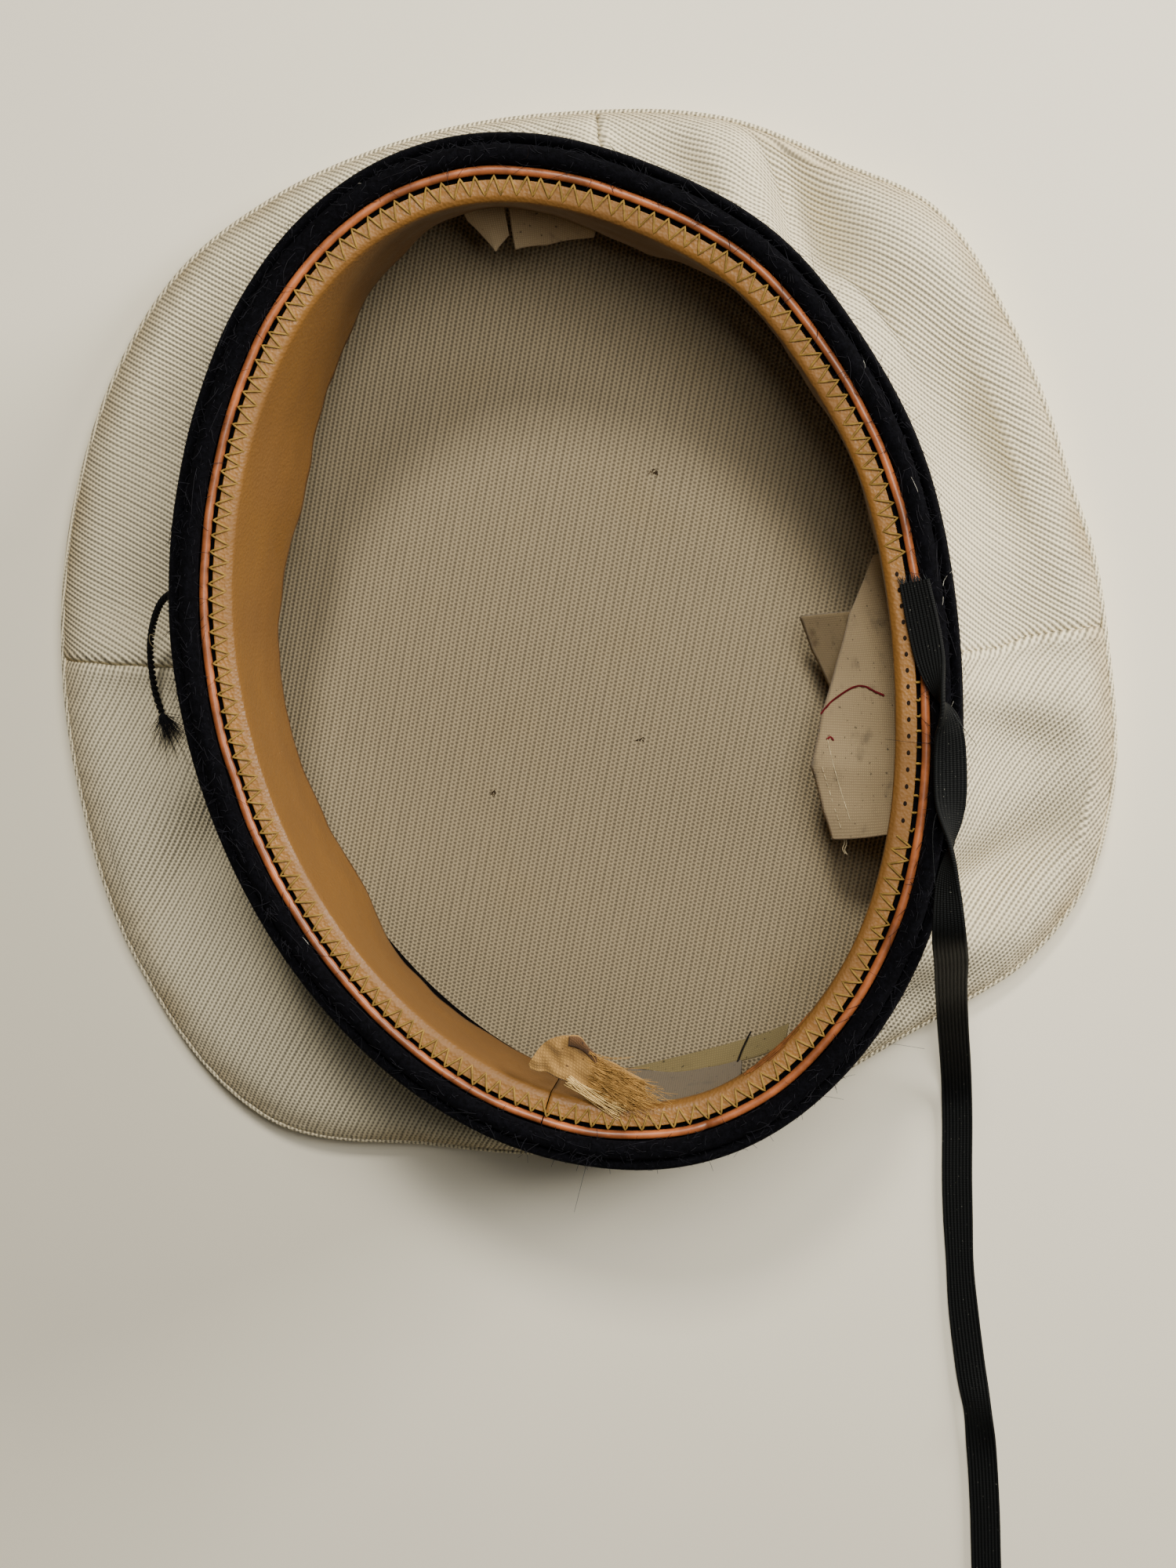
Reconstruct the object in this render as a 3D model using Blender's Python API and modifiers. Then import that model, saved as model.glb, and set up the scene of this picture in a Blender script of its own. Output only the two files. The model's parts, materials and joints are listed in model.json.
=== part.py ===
"""A sailor's flat cap, lying crown down on a table as it rests by itself.

The white top is sewn from a round disc and four side panels. A navy wool band stands on them, its
edge rolled over a cord, with a leather sweatband and its piping inside. A black elastic chin strap
lies over the rim and runs out along the table.

Metres, +Z up. The table is at z = 0, the head opening faces up, and the front of the cap is +Y.
"""

import math
from collections import namedtuple

import bmesh
import bpy
from mathutils import Vector

MM = 0.001
FIT = 0.3 * MM          # gap between pieces that touch
MERGE = 0.01 * MM       # points nearer than this are one point

STEPS_AROUND = 80       # flat facets in one turn of the cap
STEP_TURN = 360 / STEPS_AROUND

# The head opening: the outer edge of the navy rim, an egg-shaped ring seen from above
OPENING_CENTRE = Vector((4.2 * MM, -0.3 * MM))
RIM_HALF_WIDTH = 84 * MM
RIM_HALF_LENGTH = 112 * MM
RIM_TURN = 15           # degrees that its long axis leans from the cap's front
Bump = namedtuple("Bump", "angle push spread")
RIM_BUMPS = [
    Bump(36, 2.3, 20),
    Bump(62, 2.5, 14),
    Bump(84, -0.6, 14),
    Bump(146, -1.6, 25),
    Bump(289, 1.0, 14),
    Bump(350, -1.2, 22),
]

# Heights above the table
RIM_TOP = 77 * MM
BAND_FOOT = 36 * MM     # where the band meets the white panels
BAND_BEND = 71 * MM     # below this the band leans inwards

# Wall thicknesses
COTTON = 1.2 * MM
WOOL = 2.2 * MM
LEATHER = 1.2 * MM
TAPE = 1.0 * MM
ELASTIC = 1.0 * MM

# How far the band's foot and the sweatband's free edge lie inside the rim's outer edge, and how
# high the free edge is above the table, in mm
RingSection = namedtuple("RingSection", "angle band_lean leather_lean leather_foot")
RING_SECTIONS = [
    RingSection(0, 5.0, 10.2, 44),
    RingSection(20, 5.0, 13.4, 44),
    RingSection(35, 5.5, 12.6, 44),
    RingSection(50, 5.5, 13.2, 44),
    RingSection(65, 5.0, 12.4, 44),
    RingSection(80, 5.0, 14.0, 44),
    RingSection(97, 5.0, 10.2, 44),
    RingSection(106, 5.5, 10.4, 44),
    RingSection(117, 6.0, 13.0, 44),
    RingSection(128, 6.5, 15.9, 44),
    RingSection(137, 7.0, 18.2, 44),
    RingSection(148, 7.5, 20.0, 44),
    RingSection(163, 8.0, 18.8, 44),
    RingSection(175, 8.5, 16.4, 44),
    RingSection(190, 9.0, 15.2, 44),
    RingSection(205, 8.5, 15.0, 44),
    RingSection(222, 8.5, 15.8, 44),
    RingSection(240, 8.5, 12.4, 44),
    RingSection(258, 7.5, 12.2, 45),
    RingSection(270, 5.0, 11.6, 48),
    RingSection(282, 3.5, 8.6, 53),
    RingSection(292, 3.0, 8.2, 51),
    RingSection(302, 4.0, 8.6, 46),
    RingSection(318, 4.5, 8.8, 44),
    RingSection(338, 5.0, 8.4, 44),
]

# The white top's outline: its radius, how high its edge lifts off the table, and how deep the side
# panel sags between edge and band, in mm
CrownSection = namedtuple("CrownSection", "angle radius lift sag")
CROWN_SECTIONS = [
    CrownSection(0, 129.3, 9.0, 5.0),
    CrownSection(11, 127.4, 8.5, 5.5),
    CrownSection(20, 126.2, 8.0, 6.0),
    CrownSection(36, 130.0, 10.0, 6.0),
    CrownSection(50, 135.0, 13.0, 4.0),
    CrownSection(61, 131.5, 12.0, 3.0),
    CrownSection(73, 131.0, 12.0, 2.0),
    CrownSection(90, 128.0, 10.0, 1.0),
    CrownSection(108, 129.0, 9.0, 1.5),
    CrownSection(124, 132.0, 8.0, 2.0),
    CrownSection(136, 134.2, 7.5, 3.0),
    CrownSection(149, 132.8, 7.5, 4.0),
    CrownSection(160, 130.8, 8.0, 4.5),
    CrownSection(172, 129.6, 8.0, 5.0),
    CrownSection(185, 129.6, 8.0, 4.5),
    CrownSection(198, 131.4, 8.0, 4.0),
    CrownSection(216, 137.8, 7.5, 3.0),
    CrownSection(237, 143.0, 9.0, 2.0),
    CrownSection(254, 130.5, 9.0, 2.0),
    CrownSection(275, 126.0, 10.0, 1.0),
    CrownSection(295, 124.0, 10.0, 1.0),
    CrownSection(309, 124.5, 11.0, 2.0),
    CrownSection(318, 128.9, 10.0, 3.0),
    CrownSection(326, 134.6, 9.0, 4.0),
    CrownSection(336, 137.4, 9.0, 4.0),
    CrownSection(346, 135.2, 9.0, 5.0),
]

# The disc's section from its edge to its middle: how far inside the outline, in mm, and how high, as
# a share of the edge's lift
DiscRow = namedtuple("DiscRow", "inside height")
DISC_ROLL = [
    DiscRow(0.6, 1.00),
    DiscRow(0.0, 0.75),
    DiscRow(0.7, 0.45),
    DiscRow(3.2, 0.20),
    DiscRow(8.0, 0.06),
    DiscRow(16.0, 0.00),
]
DISC_INNER_RING = 0.55  # of the outline's radius

# A side panel's section from the disc's edge to the band: the share of the way in and the share up
PanelRow = namedtuple("PanelRow", "across up")
PANEL_ROWS = [
    PanelRow(0.00, 0.00),
    PanelRow(0.07, 0.12),
    PanelRow(0.16, 0.22),
    PanelRow(0.30, 0.31),
    PanelRow(0.45, 0.40),
    PanelRow(0.62, 0.54),
    PanelRow(0.80, 0.75),
    PanelRow(1.00, 1.00),
]

# How a side panel meets the disc and the band
SEAM_INSET = 0.9 * MM   # from the outline to the panel's outer edge
SEAM_CLEAR = 0.4 * MM   # above the disc's edge
PANEL_TUCK = 1.0 * MM   # how far the panel goes in under the band
PANEL_CLEAR = 0.1 * MM  # below the band, beside the cloth's own thickness
SAG_SHAPE = 1.5         # above 1, the sag keeps to the middle of the panel
FOLD_SHAPE = 0.8        # below 1, a fold keeps its height near its two ends

# Folds that run across the panels, from an angle at the edge to one at the band. Height is in mm,
# and a valley's is negative; spread is in degrees
Fold = namedtuple("Fold", "edge_angle band_angle spread height start end")
FOLDS = [
    Fold(75, 66, 4.5, 3.5, 0.02, 0.95),
    Fold(66, 55, 5.0, -4.0, 0.05, 0.90),
    Fold(50, 46, 8.0, 3.0, 0.00, 0.60),
    Fold(89, 89, 3.0, 1.5, 0.00, 1.00),
    Fold(24, 30, 9.0, -2.5, 0.25, 0.90),
    Fold(-6, -5, 4.0, 2.5, 0.05, 0.95),
    Fold(-15, -38, 5.0, -3.5, 0.10, 0.95),
    Fold(-30, -48, 6.0, 3.0, 0.05, 0.90),
    Fold(180, 181, 3.5, 1.8, 0.02, 0.95),
    Fold(206, 191, 6.0, 2.5, 0.08, 0.95),
    Fold(216, 199, 6.0, -2.0, 0.08, 0.95),
    Fold(236, 226, 8.0, 1.8, 0.05, 0.95),
    Fold(150, 152, 10.0, -1.6, 0.15, 0.85),
]

# The panel seams, as the numbers of facets from the first seam, which lies a little past +X
FIRST_SEAM = -2.0       # degrees
PANEL_SEAMS = {
    "panel_front_right": (0, 20),
    "panel_front_left": (20, 41),
    "panel_back_left": (41, 62),
    "panel_back_right": (62, 80),
}
SEAM_GAP_TURN = 0.15    # degrees from a seam to the cloth on each side of it

# The rolled rim's section: inset from the rim's outer edge, and height
ROLL_CENTRE = (4.7 * MM, 76.4 * MM)
ROLL_RADIUS = 2.05 * MM
ROLL_FIRST, ROLL_LAST, ROLL_POINTS = -45, 255, 6
FLANGE_END = 10.4 * MM  # the wool turned in under the piping and the leather
FLANGE_TOP = 73.9 * MM
FLANGE_UNDER = 73.1 * MM
FLANGE_CORNER = 6.3 * MM

PIPING_INSET = 7.85 * MM
PIPING_HEIGHT = 75.4 * MM
PIPING_RADIUS = 0.95 * MM

# The sweatband: a flat sewn strip at the rim, then the wall that hangs into the cap
LEATHER_START = (9.5 * MM, 75.7 * MM)
LEATHER_STRIP_END = (13.4 * MM, 74.8 * MM)
LEATHER_BEND = (14.2 * MM, 72.6 * MM)
JOINT_ANGLE = 266.6     # where its two ends meet, at the back
JOINT_GAP_TURN = 0.25

# Tapes tucked under the sweatband's free edge: where along it, how far each reaches inwards and how
# far it drops, in mm, and how many degrees its free end turns along the rim
TapeRow = namedtuple("TapeRow", "angle reach drop turn")
SIDE_TAPE = [
    TapeRow(-26, 16.0, 15.5, -5.5),
    TapeRow(-23, 19.5, 16.5, -4.0),
    TapeRow(-17, 23.5, 17.0, -2.0),
    TapeRow(-9.5, 21.0, 16.0, 0.0),
    TapeRow(0, 16.0, 13.5, 0.0),
    TapeRow(8, 11.0, 10.0, 0.0),
    TapeRow(17.5, 2.0, 2.0, 0.0),
]
SIDE_TAPE_STUB = [
    TapeRow(-5, 18.5, 20.0, 0.0),
    TapeRow(2, 21.5, 22.0, 0.0),
    TapeRow(8.5, 22.3, 21.0, 0.0),
]
CARE_TAPE = [
    TapeRow(275, 1.0, 24.0, 0.0),
    TapeRow(280.5, 1.5, 28.0, 0.0),
    TapeRow(286, 2.0, 29.0, 0.0),
    TapeRow(291.5, 1.0, 28.0, 0.0),
]
FRONT_TAPE = [
    TapeRow(98.8, 6.0, 6.0, 0.0),
    TapeRow(101.5, 9.0, 8.0, 0.0),
    TapeRow(104.5, 1.5, 2.0, 0.0),
]
FRONT_LINING_TAPE = [
    TapeRow(86.0, 2.0, 2.0, 0.0),
    TapeRow(93.0, 7.0, 7.0, 0.0),
    TapeRow(98.2, 9.0, 8.0, 0.0),
]
TAPE_CLEAR = 0.4 * MM   # under the leather's edge
TAPE_SAG = 1.3          # above 1, a tape leaves the leather flatter than it ends
STUB_CLEAR = 4.1 * MM   # the stub lies under the side tape

# The chin strap's route, in mm, and how far it is rolled about its own line, in degrees
RoutePoint = namedtuple("RoutePoint", "x y z roll")
STRAP_WIDTH = 7.5 * MM
STRAP_STEPS = 64
STRAP_ROUTE = [
    RoutePoint(78.2, 16.6, 78.9, 38),
    RoutePoint(80.2, 7.6, 79.1, 30),
    RoutePoint(82.0, -0.6, 80.6, 42),
    RoutePoint(84.2, -8.0, 83.3, 92),
    RoutePoint(85.6, -14.0, 81.8, 146),
    RoutePoint(86.1, -20.5, 80.6, 160),
    RoutePoint(86.3, -29.0, 81.0, 152),
    RoutePoint(86.3, -38.6, 83.0, 90),
    RoutePoint(86.0, -46.8, 82.8, 48),
    RoutePoint(86.6, -57.6, 80.8, 20),
    RoutePoint(88.2, -66.0, 64.0, 6),
    RoutePoint(89.6, -74.5, 44.5, 0),
    RoutePoint(91.0, -83.0, 27.5, 0),
    RoutePoint(92.2, -92.0, 17.0, 0),
    RoutePoint(93.4, -101.0, 8.5, 0),
    RoutePoint(94.3, -110.0, 2.2, 0),
    RoutePoint(94.7, -119.0, 0.9, 0),
    RoutePoint(95.0, -136.0, 0.9, 0),
    RoutePoint(96.4, -160.0, 0.9, 0),
    RoutePoint(98.9, -180.0, 1.0, 0),
    RoutePoint(101.0, -192.2, 2.6, 24),
    RoutePoint(102.4, -204.5, 1.0, 0),
    RoutePoint(103.4, -218.6, 0.9, 0),
    RoutePoint(104.1, -234.1, 0.9, 0),
    RoutePoint(105.0, -246.5, 0.9, 0),
]

# The twisted cord at the left of the band, and the frayed tuft that it ends in
CORD_RADIUS = 0.8 * MM
CORD_STEPS = 18
CORD_ROUTE = [
    RoutePoint(-77.0, 15.0, 50.5, 0),
    RoutePoint(-83.0, 14.6, 49.3, 0),
    RoutePoint(-90.4, 13.2, 45.0, 0),
    RoutePoint(-95.8, 9.0, 38.0, 0),
    RoutePoint(-100.6, 0.5, 28.5, 0),
    RoutePoint(-102.0, -10.0, 21.4, 0),
    RoutePoint(-100.4, -15.8, 21.4, 0),
]
TUFT_LENGTH = 8 * MM
TUFT_NECK = 0.8 * MM
TUFT_SPREAD = 2.6 * MM
TUFT_SIDES = 10

# The frayed ribbon knotted through the sweatband's joint
BOW_WIDTH = 10 * MM
BOW_STEPS = 16
BOW_ROUTE = [
    RoutePoint(-2.0, -89.6, 74.0, -24),
    RoutePoint(2.4, -87.8, 74.4, -22),
    RoutePoint(8.6, -88.2, 74.6, -20),
    RoutePoint(14.8, -91.2, 75.0, -14),
    RoutePoint(20.6, -94.4, 75.6, -8),
]

# Colours and surfaces: red, green, blue and roughness
WHITE_COTTON = (0.80, 0.77, 0.68, 0.85)
NAVY_WOOL = (0.010, 0.011, 0.022, 0.95)
TAN_LEATHER = (0.56, 0.31, 0.12, 0.55)
COPPER_OILCLOTH = (0.56, 0.20, 0.09, 0.45)
BLACK_ELASTIC = (0.012, 0.014, 0.015, 0.80)
LINEN_TAPE = (0.66, 0.58, 0.46, 0.90)
STRAW_RIBBON = (0.52, 0.36, 0.18, 0.70)


def read(table, column, angle):
    """A column's value at an angle, on a smooth closed curve through the table's rows."""
    rows = sorted(table, key=lambda row: row.angle)
    angle = (angle - rows[0].angle) % 360 + rows[0].angle
    after = next((i for i, row in enumerate(rows) if row.angle > angle), len(rows))
    angles, values = [], []
    for i in range(after - 2, after + 2):
        row = rows[i % len(rows)]
        angles.append(row.angle + 360 * (i // len(rows)))
        values.append(getattr(row, column))
    span = angles[2] - angles[1]
    slope_in = (values[2] - values[0]) / (angles[2] - angles[0]) * span
    slope_out = (values[3] - values[1]) / (angles[3] - angles[1]) * span
    t = (angle - angles[1]) / span
    return (
        (2 * t**3 - 3 * t**2 + 1) * values[1]
        + (t**3 - 2 * t**2 + t) * slope_in
        + (3 * t**2 - 2 * t**3) * values[2]
        + (t**3 - t**2) * slope_out
    )


def smooth_route(points, steps):
    """Steps + 1 points on a smooth curve through the route's own points."""
    found = []
    for k in range(steps + 1):
        at = k / steps * (len(points) - 1)
        i = min(int(at), len(points) - 2)
        t = at - i
        p0, p1, p2, p3 = (points[min(max(j, 0), len(points) - 1)] for j in range(i - 1, i + 3))
        found.append([
            0.5 * (2 * b + (c - a) * t + (2 * a - 5 * b + 4 * c - d) * t**2 + (3 * b - a - 3 * c + d) * t**3)
            for a, b, c, d in zip(p0, p1, p2, p3)
        ])
    return found


def angle_between(a, b):
    return (a - b + 180) % 360 - 180


def rim_edge(angle):
    """The rim's outer edge, seen from above."""
    turned = math.radians(angle - RIM_TURN)
    radius = RIM_HALF_WIDTH * RIM_HALF_LENGTH / math.hypot(
        RIM_HALF_LENGTH * math.cos(turned), RIM_HALF_WIDTH * math.sin(turned)
    )
    for bump in RIM_BUMPS:
        radius += bump.push * MM * math.exp(-((angle_between(angle, bump.angle) / bump.spread) ** 2))
    heading = math.radians(angle)
    return OPENING_CENTRE + radius * Vector((math.cos(heading), math.sin(heading)))


def rim_inset(angle, inset, height):
    """A point that lies inset inside the rim's outer edge, measured square to the edge."""
    along = rim_edge(angle + 1) - rim_edge(angle - 1)
    inwards = Vector((-along.y, along.x)).normalized()
    spot = rim_edge(angle) + inset * inwards
    return Vector((spot.x, spot.y, height))


def crown_edge(angle, inside, height):
    """A point that lies inside the white top's outline, on the way to its middle."""
    heading = math.radians(angle)
    radius = read(CROWN_SECTIONS, "radius", angle) * MM - inside
    spot = Vector((radius * math.cos(heading), radius * math.sin(heading), height))
    return spot - CROWN_CENTRE


def crown_centre():
    """The middle of the box round the white top's outline, before it is moved to the origin."""
    xs, ys = [], []
    for k in range(STEPS_AROUND):
        angle = FIRST_SEAM + k * STEP_TURN
        radius = read(CROWN_SECTIONS, "radius", angle) * MM
        xs.append(radius * math.cos(math.radians(angle)))
        ys.append(radius * math.sin(math.radians(angle)))
    return Vector(((min(xs) + max(xs)) / 2, (min(ys) + max(ys)) / 2, 0.0))


CROWN_CENTRE = crown_centre()


def band_inset(angle, height):
    """How far the band's outer face lies inside the rim's edge at a height."""
    down = max(0.0, (BAND_BEND - height) / (BAND_BEND - BAND_FOOT))
    return down * read(RING_SECTIONS, "band_lean", angle) * MM


def fold_height(angle, across):
    """What the folds add to a side panel's height."""
    total = 0.0
    for fold in FOLDS:
        if fold.start < across < fold.end:
            middle = fold.edge_angle + (fold.band_angle - fold.edge_angle) * across
            along = (across - fold.start) / (fold.end - fold.start)
            shape = math.exp(-((angle_between(angle, middle) / fold.spread) ** 2))
            total += fold.height * MM * shape * math.sin(math.pi * along) ** FOLD_SHAPE
    return total


def finish(name, colour):
    """A plain material of the piece's own colour and roughness. Nothing on the cap is metal."""
    material = bpy.data.materials.new(name)
    material.use_nodes = True
    shader = material.node_tree.nodes["Principled BSDF"]
    shader.inputs["Base Color"].default_value = (*colour[:3], 1)
    shader.inputs["Roughness"].default_value = colour[3]
    shader.inputs["Metallic"].default_value = 0.0
    return material


def add_object(name, data, material, collection):
    piece = bpy.data.objects.new(name, data)
    data.materials.append(material)
    collection.objects.link(piece)
    return piece


def sheet_mesh(name, columns, rows, place):
    """A grid laid out by place(column, row), with the points that fall together merged."""
    cloth = bmesh.new()
    bmesh.ops.create_grid(cloth, x_segments=columns, y_segments=rows, size=0.5)
    for point in cloth.verts:
        column = round((point.co.x + 0.5) * columns)
        row = round((point.co.y + 0.5) * rows)
        point.co = place(column, row)
    bmesh.ops.remove_doubles(cloth, verts=cloth.verts, dist=MERGE)
    mesh = bpy.data.meshes.new(name)
    cloth.to_mesh(mesh)
    cloth.free()
    mesh.shade_smooth()
    return mesh


def walled(name, columns, rows, place, thickness, side, material, collection):
    """A sheet given a wall: side is 1 for thickness along its normals, and -1 against them."""
    piece = add_object(name, sheet_mesh(name, columns, rows, place), material, collection)
    wall = piece.modifiers.new("Wall", "SOLIDIFY")
    wall.thickness = thickness
    wall.offset = side
    wall.use_even_offset = True
    wall.use_quality_normals = True
    return piece


def ring_of_section(name, section, material, collection):
    """A closed ring that carries a closed section of insets and heights round the rim."""
    def place(column, row):
        inset, height = section[row % len(section)]
        return rim_inset(column * STEP_TURN, inset, height)

    mesh = sheet_mesh(name, STEPS_AROUND, len(section), place)
    ring = bmesh.new()
    ring.from_mesh(mesh)
    bmesh.ops.recalc_face_normals(ring, faces=ring.faces)
    ring.to_mesh(mesh)
    ring.free()
    return add_object(name, mesh, material, collection)


def build_disc(cotton, collection):
    """The round top, flat on the table with its edge rolled up to the seam."""
    rows = len(DISC_ROLL) + 1

    def place(column, row):
        angle = FIRST_SEAM + column * STEP_TURN
        if row < len(DISC_ROLL):
            part = DISC_ROLL[row]
            lift = read(CROWN_SECTIONS, "lift", angle) * MM
            return crown_edge(angle, part.inside * MM, part.height * lift)
        radius = read(CROWN_SECTIONS, "radius", angle) * MM
        share = DISC_INNER_RING if row < rows else 0.0
        return crown_edge(angle, radius * (1 - share), 0.0)

    walled("crown_disc", STEPS_AROUND, rows, place, COTTON, 1, cotton, collection)


def panel_point(angle, row):
    """The under side of a side panel."""
    part = PANEL_ROWS[row]
    lift = read(CROWN_SECTIONS, "lift", angle) * MM
    outer = crown_edge(angle, SEAM_INSET, lift + SEAM_CLEAR)
    foot = BAND_FOOT - COTTON - PANEL_CLEAR
    inner = rim_inset(angle, band_inset(angle, BAND_FOOT) + PANEL_TUCK, foot)
    spot = outer.lerp(inner, part.across)
    spot.z = outer.z + (inner.z - outer.z) * part.up
    spot.z -= read(CROWN_SECTIONS, "sag", angle) * MM * math.sin(math.pi * part.across) ** SAG_SHAPE
    spot.z += fold_height(angle, part.across)
    return spot


def build_panels(cotton, collection):
    """The four white side panels, from the disc's edge up to the band."""
    for name, (first, last) in PANEL_SEAMS.items():
        columns = last - first

        def place(column, row, first=first, columns=columns):
            angle = FIRST_SEAM + (first + column) * STEP_TURN
            if column == 0:
                angle += SEAM_GAP_TURN
            if column == columns:
                angle -= SEAM_GAP_TURN
            return panel_point(angle, row)

        walled(name, columns, len(PANEL_ROWS) - 1, place, COTTON, 1, cotton, collection)


def build_band(wool, collection):
    """The navy band, upright at the rim and leaning in towards the white top."""
    heights = [RIM_TOP, BAND_BEND, (BAND_BEND + BAND_FOOT) / 2, BAND_FOOT]

    def place(column, row):
        angle = column * STEP_TURN
        return rim_inset(angle, band_inset(angle, heights[row]), heights[row])

    walled("band", STEPS_AROUND, len(heights) - 1, place, WOOL, 1, wool, collection)


def build_rim_roll(wool, collection):
    """The wool rolled over a cord at the rim, with its edge turned in under the piping."""
    section = []
    for k in range(ROLL_POINTS):
        turn = math.radians(ROLL_FIRST + (ROLL_LAST - ROLL_FIRST) * k / (ROLL_POINTS - 1))
        section.append((
            ROLL_CENTRE[0] + ROLL_RADIUS * math.cos(turn),
            ROLL_CENTRE[1] + ROLL_RADIUS * math.sin(turn),
        ))
    section.append((ROLL_CENTRE[0] + ROLL_RADIUS, FLANGE_UNDER))
    section.append((FLANGE_END, FLANGE_UNDER))
    section.append((FLANGE_END, FLANGE_TOP))
    section.append((FLANGE_CORNER, FLANGE_TOP))
    ring_of_section("rim_roll", section, wool, collection)


def joint_angle(share):
    """Angles from one end of the sweatband to the other, once round."""
    return JOINT_ANGLE + JOINT_GAP_TURN + share * (360 - 2 * JOINT_GAP_TURN)


def build_piping(oilcloth, collection):
    """The thin piping that the sweatband is sewn to, open at the back joint."""
    curve = bpy.data.curves.new("sweatband_piping", "CURVE")
    curve.dimensions = "3D"
    line = curve.splines.new("POLY")
    line.points.add(STEPS_AROUND)
    for k, point in enumerate(line.points):
        spot = rim_inset(joint_angle(k / STEPS_AROUND), PIPING_INSET, PIPING_HEIGHT)
        point.co = (*spot, 1)
    curve.bevel_depth = PIPING_RADIUS
    curve.bevel_resolution = 1
    curve.use_fill_caps = True
    add_object("sweatband_piping", curve, oilcloth, collection)


def leather_row(angle, row):
    """The sweatband's face that the head touches, from the rim down to its free edge."""
    lean = read(RING_SECTIONS, "leather_lean", angle) * MM
    foot = read(RING_SECTIONS, "leather_foot", angle) * MM
    inset, height = [
        LEATHER_START,
        LEATHER_STRIP_END,
        LEATHER_BEND,
        ((LEATHER_BEND[0] + lean) / 2, (LEATHER_BEND[1] + foot) / 2),
        (lean, foot),
    ][row]
    return rim_inset(angle, inset, height)


def build_sweatband(leather, collection):
    """The leather strip inside the rim. Its wall goes towards the band."""
    def place(column, row):
        return leather_row(joint_angle(column / STEPS_AROUND), row)

    walled("sweatband", STEPS_AROUND, 4, place, LEATHER, -1, leather, collection)


def build_tape(name, rows, clear, linen, collection):
    """A cloth tape that hangs from under the sweatband's free edge into the cap."""
    steps_along, steps_out = 2 * (len(rows) - 1), 3

    def place(column, row):
        share = column / 2
        low = min(int(share), len(rows) - 2)
        angle, reach, drop, turn = (
            a + (b - a) * (share - low) for a, b in zip(rows[low], rows[low + 1])
        )
        lean = read(RING_SECTIONS, "leather_lean", angle) * MM
        foot = read(RING_SECTIONS, "leather_foot", angle) * MM
        out = row / steps_out
        inset = lean - LEATHER / 2 + reach * MM * out
        height = foot - clear - drop * MM * out ** TAPE_SAG
        return rim_inset(angle + turn * out, inset, height)

    walled(name, steps_along, steps_out, place, TAPE, -1, linen, collection)


def ribbon(name, route, width, thickness, steps, material, collection):
    """A flat strip along a route, rolled about its own line where the route says."""
    line = smooth_route(route, steps)

    def place(column, row):
        x, y, z, roll = line[column]
        before, after = line[max(column - 1, 0)], line[min(column + 1, steps)]
        along = Vector(after[:3]) - Vector(before[:3])
        level = along.cross(Vector((0, 0, 1))).normalized()
        upright = level.cross(along).normalized()
        turn = math.radians(roll)
        across = level * math.cos(turn) - upright * math.sin(turn)
        return Vector((x, y, z)) * MM + across * width * (row - 0.5)

    walled(name, steps, 1, place, thickness, 0, material, collection)


def build_cord(wool, collection):
    """The short twisted cord that comes out of the band, and its frayed tuft."""
    points = [Vector(spot[:3]) * MM for spot in smooth_route(CORD_ROUTE, CORD_STEPS)]
    curve = bpy.data.curves.new("band_cord", "CURVE")
    curve.dimensions = "3D"
    line = curve.splines.new("POLY")
    line.points.add(CORD_STEPS)
    for point, spot in zip(line.points, points):
        point.co = (*spot, 1)
    curve.bevel_depth = CORD_RADIUS
    curve.bevel_resolution = 2
    curve.use_fill_caps = True
    add_object("band_cord", curve, wool, collection)

    heading = (points[-1] - points[-2]).normalized()
    cone = bmesh.new()
    bmesh.ops.create_cone(
        cone, cap_ends=True, segments=TUFT_SIDES,
        radius1=TUFT_NECK, radius2=TUFT_SPREAD, depth=TUFT_LENGTH,
    )
    mesh = bpy.data.meshes.new("cord_tuft")
    cone.to_mesh(mesh)
    cone.free()
    tuft = add_object("cord_tuft", mesh, wool, collection)
    tuft.location = points[-1] + heading * (TUFT_LENGTH / 2 + FIT)
    tuft.rotation_mode = "QUATERNION"
    tuft.rotation_quaternion = heading.to_track_quat("Z", "Y")


def main():
    for old in list(bpy.data.objects):
        bpy.data.objects.remove(old)
    cap = bpy.data.collections.new("sailor_cap")
    bpy.context.scene.collection.children.link(cap)
    cotton = finish("white_cotton_rib", WHITE_COTTON)
    wool = finish("navy_wool", NAVY_WOOL)
    leather = finish("tan_leather", TAN_LEATHER)
    oilcloth = finish("copper_oilcloth", COPPER_OILCLOTH)
    elastic = finish("black_elastic", BLACK_ELASTIC)
    linen = finish("linen_tape", LINEN_TAPE)
    straw = finish("straw_ribbon", STRAW_RIBBON)

    build_disc(cotton, cap)
    build_panels(cotton, cap)
    build_band(wool, cap)
    build_rim_roll(wool, cap)
    build_piping(oilcloth, cap)
    build_sweatband(leather, cap)
    build_tape("side_tape", SIDE_TAPE, TAPE_CLEAR, linen, cap)
    build_tape("side_tape_stub", SIDE_TAPE_STUB, STUB_CLEAR, linen, cap)
    build_tape("care_tape", CARE_TAPE, TAPE_CLEAR, linen, cap)
    build_tape("front_tape", FRONT_TAPE, TAPE_CLEAR, linen, cap)
    build_tape("front_lining_tape", FRONT_LINING_TAPE, TAPE_CLEAR, linen, cap)
    ribbon("chin_strap", STRAP_ROUTE, STRAP_WIDTH, ELASTIC, STRAP_STEPS, elastic, cap)
    ribbon("joint_ribbon", BOW_ROUTE, BOW_WIDTH, TAPE, BOW_STEPS, straw, cap)
    build_cord(wool, cap)


main()
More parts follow.
